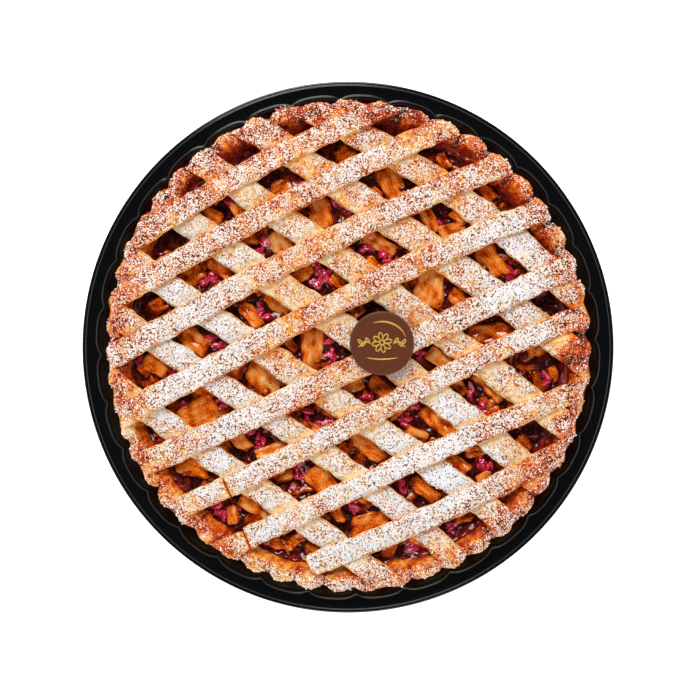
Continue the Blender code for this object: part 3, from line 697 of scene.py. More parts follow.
@dataclass(frozen=True)
class Crust:
    """The pastry shell: fluted outside, rounded on top, with a smooth wall that slumped inwards."""
    radius: float = 138.3
    flutes: int = 51
    flute_depth: float = 3.2
    lump: float = 0.75
    rim_width: float = 8.3
    samples: int = 24
    rows: int = 62
    # Each control point of the profile: how far in from the radius, the height, and the shares of
    # flute, lump, sugar, browning and slump.
    profile: tuple[tuple[float, ...], ...] = (
        (136.0, 1.3, 0.0, 0.0, 0.0, 0.55, 0.0), (60.0, 1.3, 0.0, 0.0, 0.0, 0.55, 0.0),
        (10.0, 1.3, 0.7, 0.0, 0.0, 0.54, 0.0), (8.2, 1.9, 0.8, 0.0, 0.0, 0.54, 0.0),
        (5.3, 11.0, 0.88, 0.0, 0.0, 0.46, 0.0), (2.3, 20.0, 0.95, 0.0, 0.0, 0.43, 0.0),
        (0.2, 25.6, 1.0, 0.3, 0.35, 0.46, 0.0), (0.0, 27.0, 1.0, 0.7, 0.70, 0.53, 0.0),
        (0.9, 28.2, 0.9, 1.0, 1.05, 0.55, 0.0), (2.6, 28.95, 0.70, 1.0, 1.05, 0.57, 0.0),
        (4.6, 29.2, 0.50, 1.0, 0.90, 0.59, 0.0), (6.6, 28.95, 0.35, 1.0, 0.52, 0.61, 0.1),
        (8.0, 28.3, 0.22, 0.8, 0.22, 0.63, 0.3), (9.2, 27.1, 0.12, 0.4, 0.08, 0.63, 0.7),
        (11.6, 24.3, 0.05, 0.0, 0.0, 0.64, 1.0), (14.3, 21.2, 0.0, 0.0, 0.0, 0.80, 0.6),
        (16.0, 13.0, 0.0, 0.0, 0.0, 0.8, 0.0), (18.0, 5.0, 0.0, 0.0, 0.0, 0.7, 0.0),
        (60.0, 5.0, 0.0, 0.0, 0.0, 0.7, 0.0), (136.0, 5.0, 0.0, 0.0, 0.0, 0.7, 0.0),
    )

    def oval(self, angles: Array) -> Array:
        """How far the plan departs from a true circle: slightly long, and set a little off centre."""
        return (0.2 * np.cos(angles) + 0.8 * np.sin(angles)
                - 1.1 * np.cos(2 * angles) - 0.35 * np.sin(2 * angles))

    def arch(self, angles: Array) -> Array:
        """1 on a flute's crest and 0 in its groove, from a phase whose pitch drifts round the rim."""
        around = -np.asarray(angles)
        drift = 3.5 * np.sin(around - math.radians(135)) + 1.5 * np.sin(2 * around)
        return np.abs(np.cos((self.flutes * around + drift + math.radians(117.6)) / 2))

    def flute(self, angles: Array) -> Array:
        """How far each flute stands out or in, some deeper than others."""
        uneven = 1.0 + 0.2 * np.sin(7 * angles + 1.0) + 0.15 * np.sin(13 * angles + 2.0)
        return self.flute_depth * uneven * (self.arch(angles) - 0.6)

    def edge(self, x: Array, y: Array) -> Array:
        """How far inside the fluted edge a place is, in mm."""
        angles = np.arctan2(y, x)
        return self.radius + self.oval(angles) + self.flute(angles) - np.hypot(x, y)

    def depth(self, x: Array, y: Array) -> Array:
        """How far inside the edge a place would be if the crust had no flutes, in mm."""
        return self.radius + self.oval(np.arctan2(y, x)) - np.hypot(x, y)

    def lumps(self, angles: Array) -> Array:
        """How far the rim's top stands up on each flute, or dips beside it."""
        return self.lump * (2 * self.arch(angles) - 1.0)

    def top(self, x: Array, y: Array) -> Array:
        """The height of the rim's upper surface, and within a mm of 0 inside the rim."""
        angles, depth = np.arctan2(y, x), self.depth(x, y)
        # The profile's rows from its outermost one over the rim and down to 24 mm.
        inward, height = np.array([row[:2] for row in self.profile if row[1] > 24.0][1:]).T
        fluted = 0.6 * self.flute(angles) * (depth < 3.0)
        return np.interp(depth - fluted, inward, height, left=26.5, right=0.0) + self.lumps(angles)

    def fine_profile(self) -> Array:
        """The profile's rows, evenly dense over its visible part and rounded by three light blurs."""
        control = np.array(self.profile)
        step = np.hypot(np.diff(control[:, 0]), np.diff(control[:, 1]))
        weight = np.where(step > 30.0, 2.0, step)
        run = np.concatenate(([0.0], np.cumsum(weight)))
        rows = sampled(control, run, np.linspace(0.0, run[-1], self.rows))
        for _ in range(3):
            rows[1:-1] = 0.25 * rows[:-2] + 0.5 * rows[1:-1] + 0.25 * rows[2:]
        return rows

    def surface(self, dusting: Dusting) -> Surface:
        """The shell: each profile row swept round, moved by its shares of flute, lump and slump."""
        rows = self.fine_profile()
        angles = round_angles(self.flutes * self.samples)
        inward, height, flute, lump, sugar, bake, slump = (column[:, None] for column in rows.T)
        reach = self.radius - inward + self.flute(angles) * flute
        reach = np.maximum(reach + self.oval(angles) * (inward < 100.0), 1.5)
        rim = turned(self.radius, angles, 0.0)
        reach = reach + slump * (0.9 * ripple(rim, 26.0, 41) + 0.4 * ripple(rim, 9.0, 42))
        grid = turned(reach, angles, height + self.lumps(angles) * lump)
        rough = 0.18 * ripple(grid, 6.0, 43) + 0.20 * ripple(grid, 2.6, 44) + 0.22 * ripple(grid, 15.0, 45)
        outward = np.stack((np.cos(angles), np.sin(angles)), axis=-1)
        shown = ((height > 2.5) & (height < 28.0) & (inward < 9.0)) * 1.0
        grid[..., :2] += (rough * shown)[..., None] * outward
        grid[..., 2] += rough * smoothstep(26.5, 28.5, height) * 1.2
        cover = sugar * dusting.sugar(grid)
        # Painted light on the rim: the flutes' crests are paler, as painted highlight, and their grooves and
        # the creases below the rim's top are darker, as painted shade.
        crease_shade = np.clip(1.0 - self.arch(angles) / 0.45, 0.0, 1.0) ** 2 * smoothstep(24.0, 27.0, height)
        brown = bake + dusting.bake(grid) + 0.32 * (0.62 - self.arch(angles)) * flute + 0.24 * crease_shade
        # The pastry is also paler where its relief stands out and browner where it sinks.
        brown = brown + 0.05 * ripple(grid, 3.4, 46) - 0.12 * rough
        return closed_tube(grid, {"sugar": cover, "bake": brown})


class Layer(Enum):
    """Which way a strip runs: the falling ones lie under the rising ones."""
    UNDER = "under"
    OVER = "over"


@dataclass(frozen=True)
class Strip:
    """A pastry ribbon: its tilt from +X in degrees, and its offset, bow, sway and width in mm.

    start and end are distances along its line where it stops short of the rim, tip is how far from
    there its end is rounded, bake is how brown it is, and reach is how far from the line's middle
    the bow and the sway end.
    """
    name: str
    tilt: float
    offset: float
    bow: float
    sway: float
    width: float
    bake: float
    start: float = -math.inf
    end: float = math.inf
    tip: float = 1.1
    reach: float = 136.0

    def line(self, along: Array) -> Array:
        """How far to the side the strip's line runs, at distances along it."""
        share = along / self.reach
        return self.offset + (1.0 - share ** 2) * (self.bow + self.sway * share)

    def place(self, along: Array, across: Array) -> tuple[Array, Array]:
        """Where a point on the strip lies, from its distances along and across the strip's line."""
        tilt, sideways = math.radians(self.tilt), self.line(along) + across
        return (along * math.cos(tilt) - sideways * math.sin(tilt),
                along * math.sin(tilt) + sideways * math.cos(tilt))

    def across_of(self, x: Array, y: Array) -> tuple[Array, Array]:
        """The distances along and across the strip's line of a place on the plan."""
        tilt = math.radians(self.tilt)
        along = x * math.cos(tilt) + y * math.sin(tilt)
        return along, -x * math.sin(tilt) + y * math.cos(tilt) - self.line(along)


UNDER_STRIPS = (
    Strip("under_strip_1", -37.5, -95.0, -0.5, 6.5, 14.6, 0.27),
    Strip("under_strip_2", -36.5, -63.3, 5.3, 7.0, 14.0, 0.23),
    Strip("under_strip_3", -35.0, -30.3, 1.0, 1.7, 15.2, 0.21),
    Strip("under_strip_4", -36.5, 3.2, 3.8, 4.5, 16.6, 0.21),
    Strip("under_strip_5", -36.0, 36.1, 2.0, 0.0, 16.2, 0.24),
    Strip("under_strip_6", -35.0, 70.3, 2.7, -0.3, 17.2, 0.26),
    Strip("under_strip_7", -35.0, 90.4, 15.6, -1.5, 16.2, 0.28),
)
OVER_STRIPS = (
    Strip("over_strip_1", 28.5, 103.8, 10.8, -1.3, 13.0, 0.37),
    Strip("over_strip_2", 27.0, 83.3, 5.5, 1.7, 13.4, 0.36),
    Strip("over_strip_3", 26.0, 53.5, 5.2, 2.3, 13.8, 0.35),
    Strip("over_strip_4", 26.0, 21.4, 4.2, 2.0, 13.8, 0.35),
    Strip("over_strip_5", 24.5, -11.7, -0.4, 2.6, 14.4, 0.35),
    Strip("over_strip_6", 25.0, -41.6, 1.8, 6.6, 12.6, 0.36, start=-95.9),
    Strip("over_strip_6_scrap", 25.0, -41.6, 1.8, 6.6, 12.6, 0.37, end=-96.4),
    Strip("over_strip_7", 24.0, -77.5, 3.2, 1.2, 12.6, 0.35, start=-96.9),
    Strip("over_strip_7_scrap", 24.0, -77.5, 3.2, 1.2, 12.0, 0.39, end=-97.4),
    Strip("over_strip_8", 24.5, -99.1, -7.8, -2.0, 13.2, 0.35, start=-72.0, tip=3.5),
)


@dataclass
class Ribbon:
    """One strip's surface: a flat ribbon with rounded sides that lies on the rim and what is under it.

    full is its thickness, which is pressed down to the share pressed on the rim. It can't lie below
    rest, lies gap above what is under it, and hangs down from there no steeper than slope.
    """
    strip: Strip
    crust: Crust
    layer: Layer
    below: list["Ribbon"]
    full: float = 3.5
    rest: float = 26.4
    gap: float = 0.3
    slope: float = 0.35
    pressed: float = 0.38
    # How far in its sides are rounded, and how much higher its top is in the middle.
    bead: float = 1.7
    crown: float = 0.28
    step: float = 1.0
    side_points: int = 9
    top_points: int = 24
    bottom_points: int = 10

    def __post_init__(self) -> None:
        """Find where the strip ends and how high it lies."""
        self.first, self.last = (float(end[0]) for end in self.span(np.zeros(1)))
        self.line = np.linspace(self.first - 14, self.last + 14, 700)
        self.under = self.settle()

    def span(self, across: Array) -> tuple[Array, Array]:
        """Where lines along the strip, at distances across it, meet the fluted edge or the cut ends.

        Args:
            across: The distances in mm.

        Returns:
            The first and the last distance along the strip for each line.
        """
        along = np.linspace(-141.0, 141.0, 2401)[:, None]
        x, y = self.strip.place(along, across[None, :])
        inside = (self.crust.edge(x, y) > 0.7) & (along > self.strip.start) & (along < self.strip.end)
        low = np.where(inside, along, math.inf).min(axis=0)
        return low, np.where(inside, along, -math.inf).max(axis=0)

    def settle(self) -> Array:
        """The underside along the strip: what carries it, no steeper than pastry hangs, then blurred."""
        support = np.full(self.line.shape, self.rest)
        for across in np.linspace(-0.5, 0.5, 7) * self.strip.width:
            x, y = self.strip.place(self.line, across)
            level = np.where(self.crust.depth(x, y) < self.crust.rim_width + 1.5, 29.9, 0.0)
            for ribbon in self.below:
                level = np.maximum(level, ribbon.top_at(x, y) + self.gap)
            support = np.maximum(support, level)
        run = np.abs(self.line[:, None] - self.line[None, :])
        hung = np.max(support[None, :] - self.slope * run, axis=1)
        return soften(hung, 2.6 / (self.line[1] - self.line[0]))

    def thickness(self, x: Array, y: Array) -> Array:
        """The ribbon's thickness, less where it was pressed on to the rim and least at the fluted edge."""
        press = smoothstep(106.0, 128.0, np.hypot(x, y))
        edge = 0.25 + 0.75 * smoothstep(0.0, 6.0, self.crust.edge(x, y))
        return self.full * (1.0 - (1.0 - self.pressed) * press) * edge

    def top_at(self, x: Array, y: Array) -> Array:
        """The top's height at places that lie on this strip, and 0 elsewhere."""
        along, across = self.strip.across_of(x, y)
        beside = np.abs(across) < self.strip.width / 2 + 1.0
        on_strip = beside & (along > self.first - 8) & (along < self.last + 8)
        return np.where(on_strip, np.interp(along, self.line, self.under) + self.thickness(x, y), 0.0)

    def section(self) -> tuple[Array, Array, Array]:
        """The cross-section's points: the share across its flat part, and how far out and up its sides go."""
        turn = np.linspace(-math.pi / 2, math.pi / 2, self.side_points)
        top = np.linspace(1.0, -1.0, self.top_points + 2)[1:-1]
        bottom = np.linspace(-1.0, 1.0, self.bottom_points + 2)[1:-1]
        flat = np.concatenate((np.ones_like(turn), top, -np.ones_like(turn), bottom))
        out = np.concatenate((np.cos(turn), 0 * top, -np.cos(turn), 0 * bottom))
        up = np.concatenate((np.sin(turn), 1 + 0 * top, np.sin(turn[::-1]), -1 + 0 * bottom))
        return flat, out, up

    def surface(self, dusting: Dusting, over: list["Ribbon"]) -> Surface:
        """The ribbon: its section carried along its line, with uneven edges and a slightly crowned top.

        Args:
            dusting: The sugar and the browning.
            over: The ribbons that lie over this one, near which it is paler and less sugared.

        Returns:
            The closed surface with its sugar and bake attributes.
        """
        flat, out, up = self.section()
        rows = max(8, round((self.last - self.first) / self.step))
        even = np.linspace(self.first, self.last, rows)
        tips = np.linspace(0.15, 1.35, 7)
        run = np.sort(np.concatenate((even, self.first + tips, self.last - tips)))[:, None]
        half = self.strip.width / 2
        first, last = self.span(flat * half)
        reach = min(30.0, (self.last - self.first) / 2)
        near_first = np.clip(1.0 - (run - self.first) / reach, 0.0, 1.0) ** 2
        near_last = np.clip(1.0 - (self.last - run) / reach, 0.0, 1.0) ** 2
        along = run + near_first * (first - self.first) + near_last * (last - self.last)
        to_cut = np.minimum(along - self.strip.start, self.strip.end - along)
        rounded = np.sqrt(1.0 - (1.0 - np.clip((to_cut + 0.02) / self.strip.tip, 0.0, 1.0)) ** 2)
        seed = sum(map(ord, self.strip.name))
        spine = np.stack((along, flat * half + 0 * along, 0 * along), axis=-1)
        wander = 0.28 * ripple(spine, 16.0, seed) + 0.16 * ripple(spine, 5.0, seed + 1)
        across = flat * (half - self.bead + wander) + out * self.bead
        across = across * (1.0 - 0.12 * self.strip.tip * (1.0 - rounded))
        x, y = self.strip.place(along, across)
        thick = self.thickness(x, y) * (0.35 + 0.65 * rounded)
        path = np.interp(along, self.line, self.under)
        depth = self.crust.depth(x, y)
        drape = smoothstep(6.5, 1.5, depth)
        base = path * (1 - drape) + (self.crust.top(x, y) - 0.15) * drape
        sunk = 0.45 + 1.1 * smoothstep(14.0, 7.0, depth) * (1 - drape)
        upper = thick * (0.42 + 0.58 * up) + self.crown * (1.0 - flat ** 2) * up
        lower = thick * 0.42 + up * (0.42 * thick + sunk)
        height = base + np.where(up >= 0, upper, lower)
        grid = np.stack((x, y, height), axis=-1)
        relief = 0.14 * ripple(grid, 11.0, 51) + 0.11 * ripple(grid, 4.2, 52) + 0.07 * ripple(grid, 2.3, 53)
        grid[..., 2] += relief * np.clip(up + 0.3, 0.0, 1.0)
        sugar = dusting.sugar(grid) * smoothstep(0.35, 0.95, up)
        bake = self.strip.bake + dusting.bake(grid) + 0.06 * np.abs(out) * (up > 0)
        bake = bake + (0.58 - self.strip.bake) * smoothstep(116.0, 134.0, np.hypot(x, y))
        torn = np.exp(-(np.maximum(to_cut, 0.0) / 1.3) ** 2)
        sugar, bake = sugar - 0.6 * torn, bake - 0.10 * (up < 0.5) + 0.10 * torn
        for ribbon in over:
            _, beside = ribbon.strip.across_of(x, y)
            close = np.exp(-(np.maximum(np.abs(beside) - ribbon.strip.width / 2, 0.0) / 3.2) ** 2)
            sugar = sugar - 0.20 * close
            bake = bake - 0.13 * close
        return closed_tube(grid, {"sugar": sugar + 0 * height, "bake": bake + 0 * height})


@dataclass(frozen=True)
class Chunk:
    """A piece of apple on the plan: its centre in pixels, its size in mm, its heading and its shade."""
    px: float
    py: float
    length: float
    width: float
    heading: float
    shade: float


def chunk_rows(*rows: tuple[float, float, float, float, float, float]) -> tuple[Chunk, ...]:
    """Make a piece of apple of each row of numbers."""
    return tuple(Chunk(*row) for row in rows)


CHUNKS = chunk_rows(
    (212, 214, 12, 8, -25, .5), (239, 209, 9, 7, -60, .75), (281, 186, 13, 8, 20, .6),
    (345, 152, 13, 9, 35, .4), (397, 133, 12, 6, 5, .45), (160, 304, 12, 8, 30, .3),
    (191, 278, 17, 10, 40, .4), (222, 268, 16, 8, -35, .6), (252, 238, 9, 7, 0, .35),
    (281, 244, 15, 13, -60, .85), (320, 212, 18, 15, -65, .75), (391, 183, 18, 13, -60, .7),
    (375, 193, 9, 6, -30, .4), (452, 148, 9, 6, -50, .3), (155, 366, 14, 10, -35, .65),
    (134, 370, 9, 7, 30, .4), (194, 341, 17, 11, -40, .6), (250, 316, 15, 8, -55, .7),
    (274, 300, 20, 10, -35, .75), (304, 272, 12, 8, 35, .5), (338, 281, 9, 7, -40, .55),
    (380, 242, 19, 9, -30, .7), (374, 267, 11, 7, -40, .6), (427, 218, 16, 8, -60, .5),
    (452, 230, 14, 8, 15, .75), (460, 217, 11, 6, -30, .65), (487, 193, 10, 7, -40, .35),
    (199, 414, 21, 16, 30, .75), (204, 391, 13, 6, -20, .45), (264, 378, 20, 15, -40, .85),
    (238, 373, 10, 7, 50, .4), (311, 349, 23, 12, 90, .75), (358, 312, 9, 6, 30, .45),
    (430, 286, 22, 16, 80, .8), (461, 299, 12, 9, -40, .65), (492, 260, 20, 12, -55, .75),
    (187, 471, 17, 11, -15, .6), (241, 441, 12, 9, -50, .75), (272, 452, 18, 7, 25, .7),
    (326, 410, 11, 6, -35, .55), (352, 386, 12, 8, 25, .65), (382, 387, 14, 9, -40, .65),
    (438, 356, 13, 8, -35, .85), (489, 333, 21, 10, 10, .65), (230, 521, 11, 6, -80, .6),
    (259, 505, 20, 13, -30, .8), (324, 483, 19, 13, -50, .75), (284, 478, 11, 5, 25, .45),
    (368, 446, 21, 9, -38, .8), (439, 422, 21, 12, -45, .65), (416, 435, 12, 6, -25, .7),
    (488, 386, 21, 7, -48, .9), (461, 386, 9, 6, -45, .45), (538, 350, 12, 7, 10, .65),
    (293, 540, 13, 7, 30, .5), (275, 560, 12, 6, -10, .6), (337, 514, 11, 7, -60, .4),
    (371, 524, 20, 13, 15, .65), (425, 490, 17, 8, -40, .6), (456, 465, 15, 9, -35, .55),
    (475, 450, 12, 6, 10, .5), (485, 478, 9, 5, 30, .6), (525, 443, 9, 6, -50, .3),
    (395, 555, 17, 7, 65, .55), (428, 556, 11, 8, -30, .65), (467, 521, 10, 6, 10, .5))
SMALL_CHUNKS = chunk_rows(
    (171, 405, 8, 6, -50, .35), (286, 383, 7, 5, 0, .6), (226, 447, 7, 5, -40, .4),
    (293, 414, 8, 6, 20, .45), (313, 429, 8, 5, -30, .5), (342, 450, 7, 5, -40, .4),
    (395, 415, 8, 5, 35, .6), (493, 413, 8, 5, 20, .5), (312, 547, 7, 5, -45, .6),
    (365, 501, 8, 5, -35, .6), (563, 375, 8, 6, -60, .4), (291, 346, 8, 6, -45, .4))
# Where berries show on the plan, in pixels.
BERRIES = (
    (230, 203), (203, 283), (213, 278), (259, 250), (265, 243), (341, 203), (349, 211), (141, 360),
    (164, 370), (173, 372), (211, 338), (218, 346), (261, 311), (267, 318), (317, 265), (324, 273),
    (329, 281), (318, 285), (384, 255), (389, 262), (365, 248), (224, 405), (330, 341), (337, 335),
    (332, 357), (510, 271), (153, 438), (258, 438), (262, 445), (308, 412), (325, 424), (333, 420),
    (364, 397), (421, 352), (216, 505), (219, 513), (301, 469), (308, 474), (293, 489), (411, 407),
    (405, 419), (472, 391), (483, 407), (548, 382), (268, 548), (275, 551), (354, 507), (401, 484),
    (405, 491), (481, 463), (487, 469), (411, 543), (411, 551), (450, 528), (440, 158),
)


@dataclass(frozen=True)
class Filling:
    """The filling under the lattice: sauce, cut apple and berries."""
    crust: Crust
    level: float = 21.5
    floor: float = 5.3
    chunk_height: float = 8.5
    chunk_top: tuple[float, float] = (24.3, 26.0)
    seed: int = 7
    chunk_scale: float = 1.12
    # How many draws are passed over before each piece's own.
    passed_over: int = 16
    # How many pieces, berries and lumps lie at random, how far out, and how near to the pieces that show.
    hidden_chunks: int = 560
    chunk_reach: float = 119.0
    apart: float = 8.5
    hidden_berries: int = 60
    berry_reach: float = 118.0
    pulp_lumps: int = 700
    pulp_reach: float = 121.0

    def wall(self, height: Array) -> Array:
        """The radius of the crust's inner wall at a height."""
        above = self.crust.radius - 8.3 - 6.0 * (28.3 - height) / 6.8
        below = self.crust.radius - 14.3 - 3.0 * (self.level - height) / self.level
        return np.where(height >= self.level, above, below)

    def sauce(self) -> Surface:
        """The sauce: a round sheet with soft waves, whose film climbs the wall round it.

        The film climbs 1.9 mm on average, more at the right, and ends 5.5 mm from the wall.
        """
        angles = round_angles(480)
        out = np.concatenate((np.linspace(0.01, 0.9, 120), np.linspace(0.907, 1.0, 36)))[:, None]
        rim = turned(122.0, angles, 0.0)
        uneven = 0.5 * np.clip(ripple(rim, 21.0, 64), -1.0, 1.3)
        film = 1.9 + 0.9 * np.cos(angles - math.radians(20.0)) + uneven
        edge = self.wall(self.level + film) + self.crust.oval(angles) + 1.0
        reach = out * edge
        flat = turned(reach, angles, 0.0)
        swell = 0.5 * np.sin(flat[..., 0] / 17.0 + 1.0) * np.cos(flat[..., 1] / 13.0 - 0.5)
        waves = 0.30 * ripple(flat, 11.0, 61) + 0.25 * ripple(flat, 5.0, 62) + 0.16 * ripple(flat, 2.6, 63)
        climb = film * smoothstep(5.5, 0.6, edge - reach)
        flat[..., 2] = self.level - 0.2 + swell + waves + climb
        side = flat[-1:].repeat(2, axis=0)
        for ring, (height, share) in zip(side, ((13.0, 0.985), (self.floor, 0.97))):
            ring[:, 2] = height
            ring[:, :2] *= share
        thin = 0.22 * smoothstep(6.5, 1.5, edge - reach) * (film / 3.0)
        return closed_tube(np.concatenate((flat, side)), {"thin": np.concatenate((thin, 0 * thin[-2:]))})

    def chunk_surface(self, chunk: Chunk, turns: tuple[float, float], top: float, seed: int, rows: int,
                      cols: int) -> Surface:
        """One piece of apple: a block with soft edges, tapered, bent, roughened, turned and put in place.

        The block is a superellipsoid: a ball's directions, each as long as makes the sum of its
        coordinates' high powers 1, so that it has flat faces. Four random planes then cut corners off, and
        some pieces get the low parallel ridges of the cut fibres. A piece that would reach the wall moves
        towards the middle.

        Args:
            chunk: The piece's place, size, heading and shade.
            turns: Its two tilts in degrees.
            top: The height of its highest point.
            seed: Picks its taper, bend and relief.
            rows: Points from pole to pole.
            cols: Points round it.

        Returns:
            The closed surface with its shade and cut attributes.
        """
        draw = np.random.default_rng(seed)
        ball = directions(rows, cols, 0.02, 0.12)
        power = draw.uniform(9.0, 16.0)
        ball /= (np.abs(ball) ** power).sum(axis=-1, keepdims=True) ** (1.0 / power)
        local = self.shaped(chunk, ball, draw)
        offset = draw.uniform(0.0, 500.0, 3)
        away = np.sign(ball) * np.abs(ball) ** 5
        away /= np.maximum(np.linalg.norm(away, axis=-1, keepdims=True), 1e-6)
        stretched = (local + offset) * (0.3, 1.0, 1.0)
        spacing, strength = draw.uniform(3.4, 4.8), 0.26 * draw.uniform() ** 1.7
        bent = local[..., 1] + 0.12 * local[..., 0] + 0.7 * ripple(local + offset, 8.0, seed + 3)
        ridges = 1.0 - 2.0 * np.abs(np.sin(math.pi * bent / spacing)) ** 0.7
        relief = (0.24 * ripple(local + offset, 7.0, seed + 1) + 0.11 * ripple(stretched, 2.8, seed + 2)
                  - strength * ridges)
        pitch, roll, yaw = (math.radians(angle) for angle in (*turns, chunk.heading))
        turn = rotation(2, yaw) @ rotation(1, pitch) @ rotation(0, roll)
        placed = (local + away * relief[..., None]) @ turn.T
        at_x, at_y = on_plan(chunk.px, chunk.py, top)
        placed += np.array((at_x, at_y, top - placed[..., 2].max()))
        placed = self.clear_of_wall(placed)
        # Painted light and shade: each piece is lighter on its top faces and raised relief, and darker on its
        # lower sides. Its edges are darker, partly as browned cut edges and partly as painted shade.
        edge = smoothstep(0.72, 1.0, np.sort(np.abs(ball), axis=-1)[..., 1])
        painted_top_light = np.clip(ball[..., 2], -1.0, 1.0)
        shade = 0.55 * chunk.shade + 0.42 * painted_top_light - 0.18 - 0.18 * edge + 0.40 * relief
        return closed_tube(placed, {"shade": shade, "cut": local + offset})

    def shaped(self, chunk: Chunk, ball: Array, draw: np.random.Generator) -> Array:
        """A block of the piece's size: tapered, leaning and bent, with four corners cut off."""
        sizes = np.array((chunk.length, chunk.width, self.chunk_height))
        x, y, z = np.moveaxis(ball * sizes / 2, -1, 0)
        y = y * (1.0 - draw.uniform(0.0, 0.30) * (x / chunk.length + 0.5))
        z = z + draw.uniform(-0.12, 0.12) * y + draw.uniform(-0.05, 0.05) * x
        y = y + draw.uniform(-0.6, 0.6) * (2 * x / chunk.length) ** 2
        x = x + draw.uniform(-0.22, 0.22) * y
        local = np.stack((x, y, z), axis=-1) * self.chunk_scale
        for _ in range(4):
            facing = draw.normal(size=3) * (0.9, 1.0, 0.25)
            facing /= np.linalg.norm(facing)
            beyond = local @ facing
            cut = draw.uniform(0.78, 0.94) * beyond.max()
            local = local - np.maximum(beyond - cut, 0.0)[..., None] * facing
        return local

    def clear_of_wall(self, points: Array) -> Array:
        """Move a piece towards the middle until it only just touches the crust's wall."""
        centre = points.reshape(-1, 3)[:, :2].mean(axis=0)
        inward = -centre / max(1e-6, float(np.hypot(*centre)))
        x, y, z = np.moveaxis(points, -1, 0)
        reach = np.hypot(x, y) - self.crust.oval(np.arctan2(y, x))
        over = max(0.0, float((reach - self.wall(z) + 0.5).max()))
        moved = points.copy()
        moved[..., :2] += inward * over
        return moved

    def apple(self) -> Surface:
        """The cut apple that shows in the windows: the large pieces, then the small ones between them."""
        draw = random.Random(self.seed)
        surfaces = []
        for i, chunk in enumerate(CHUNKS):
            for _ in range(self.passed_over):
                draw.random()
            turns = (draw.uniform(-6, 6), draw.uniform(-13, 13))
            top = draw.uniform(*self.chunk_top)
            surfaces.append(self.chunk_surface(chunk, turns, top, 100 + 7 * i, 30, 42))
        for i, chunk in enumerate(SMALL_CHUNKS):
            surfaces.append(self.chunk_surface(chunk, (5.0, -6.0), 23.6 + 0.1 * i, 900 + 7 * i, 22, 30))
        return joined(surfaces)

    def stewed_apple(self) -> Surface:
        """Softer, darker pieces of apple at random between the ones that show."""
        draw = np.random.default_rng(17)
        turn = draw.uniform(0.0, math.tau, self.hidden_chunks)
        reach = self.chunk_reach * np.sqrt(draw.uniform(0.0, 1.0, self.hidden_chunks))
        spots = np.column_stack((reach * np.cos(turn), reach * np.sin(turn)))
        taken = np.array([on_plan(chunk.px, chunk.py, 24.0) for chunk in CHUNKS])
        near = np.linalg.norm(spots[:, None, :] - taken[None, :, :], axis=2).min(axis=1)
        surfaces = []
        for i in np.flatnonzero(near > self.apart):
            px = PLAN_CENTRE[0] + spots[i, 0] / PLAN_SCALE
            py = PLAN_CENTRE[1] - spots[i, 1] / PLAN_SCALE
            chunk = Chunk(px, py, draw.uniform(10, 19), draw.uniform(7, 12), draw.uniform(0, 180),
                          draw.uniform(-0.1, 0.3))
            turns = (draw.uniform(-14, 14), draw.uniform(-18, 18))
            top = draw.uniform(22.0, 23.4)
            surfaces.append(self.chunk_surface(chunk, turns, top, 2000 + 7 * int(i), 13, 18))
        return joined(surfaces)

    def berries(self) -> Surface:
        """The berries: in each place a large one with one to three smaller against it, and some at random."""
        draw = np.random.default_rng(23)
        spots = []
        for px, py in BERRIES:
            x, y = on_plan(px, py, 24.5)
            spots.append((x, y, draw.uniform(2.4, 3.3), draw.uniform(23.8, 25.2)))
            for _ in range(draw.integers(1, 4)):
                turn, away = draw.uniform(0, math.tau), draw.uniform(2.4, 4.4)
                spots.append((x + away * math.cos(turn), y + away * math.sin(turn), draw.uniform(1.7, 2.7),
                              draw.uniform(22.6, 24.4)))
        for _ in range(self.hidden_berries):
            turn, reach = draw.uniform(0, math.tau), self.berry_reach * math.sqrt(draw.uniform())
            spots.append((reach * math.cos(turn), reach * math.sin(turn), draw.uniform(1.8, 2.8),
                          draw.uniform(22.0, 23.4)))
        return self.lumps(spots, draw, 13, 18)

    def pulp(self) -> Surface:
        """Small lumps of burst berry at random all over the sauce."""
        draw = np.random.default_rng(29)
        turn = draw.uniform(0.0, math.tau, self.pulp_lumps)
        reach = self.pulp_reach * np.sqrt(draw.uniform(0.0, 1.0, self.pulp_lumps))
        radius = draw.uniform(0.9, 2.2, self.pulp_lumps)
        top = draw.uniform(21.6, 22.7, self.pulp_lumps)
        return self.lumps(list(zip(reach * np.cos(turn), reach * np.sin(turn), radius, top)), draw, 9, 12)

    def lumps(self, spots: list[tuple[float, float, float, float]], draw: np.random.Generator, rows: int,
              cols: int) -> Surface:
        """Soft oval lumps: balls with dents, each drawn out, flattened and turned its own way.

        Args:
            spots: The x, y, radius and highest point of each, in mm.
            draw: Picks the proportions and the turns.
            rows: Points from pole to pole.
            cols: Points round each lump.

        Returns:
            All the lumps in one surface.
        """
        ball = directions(rows, cols, 0.03)
        surfaces = []
        for i, (x, y, radius, top) in enumerate(spots):
            large, fine = ball * radius + i * 9.0, ball * radius + i * 5.0
            dents = 1.0 + 0.13 * ripple(large, 4.2, 71) + 0.05 * ripple(fine, 2.0, 72)
            shape = ball * radius * dents[..., None]
            shape = shape * (draw.uniform(1.0, 1.5), draw.uniform(0.65, 0.95), draw.uniform(0.7, 0.95))
            shape = shape @ rotation(2, draw.uniform(0.0, math.pi)).T
            placed = shape + np.array((x, y, top - shape[..., 2].max()))
            surfaces.append(closed_tube(self.clear_of_wall(placed)))
        return joined(surfaces)


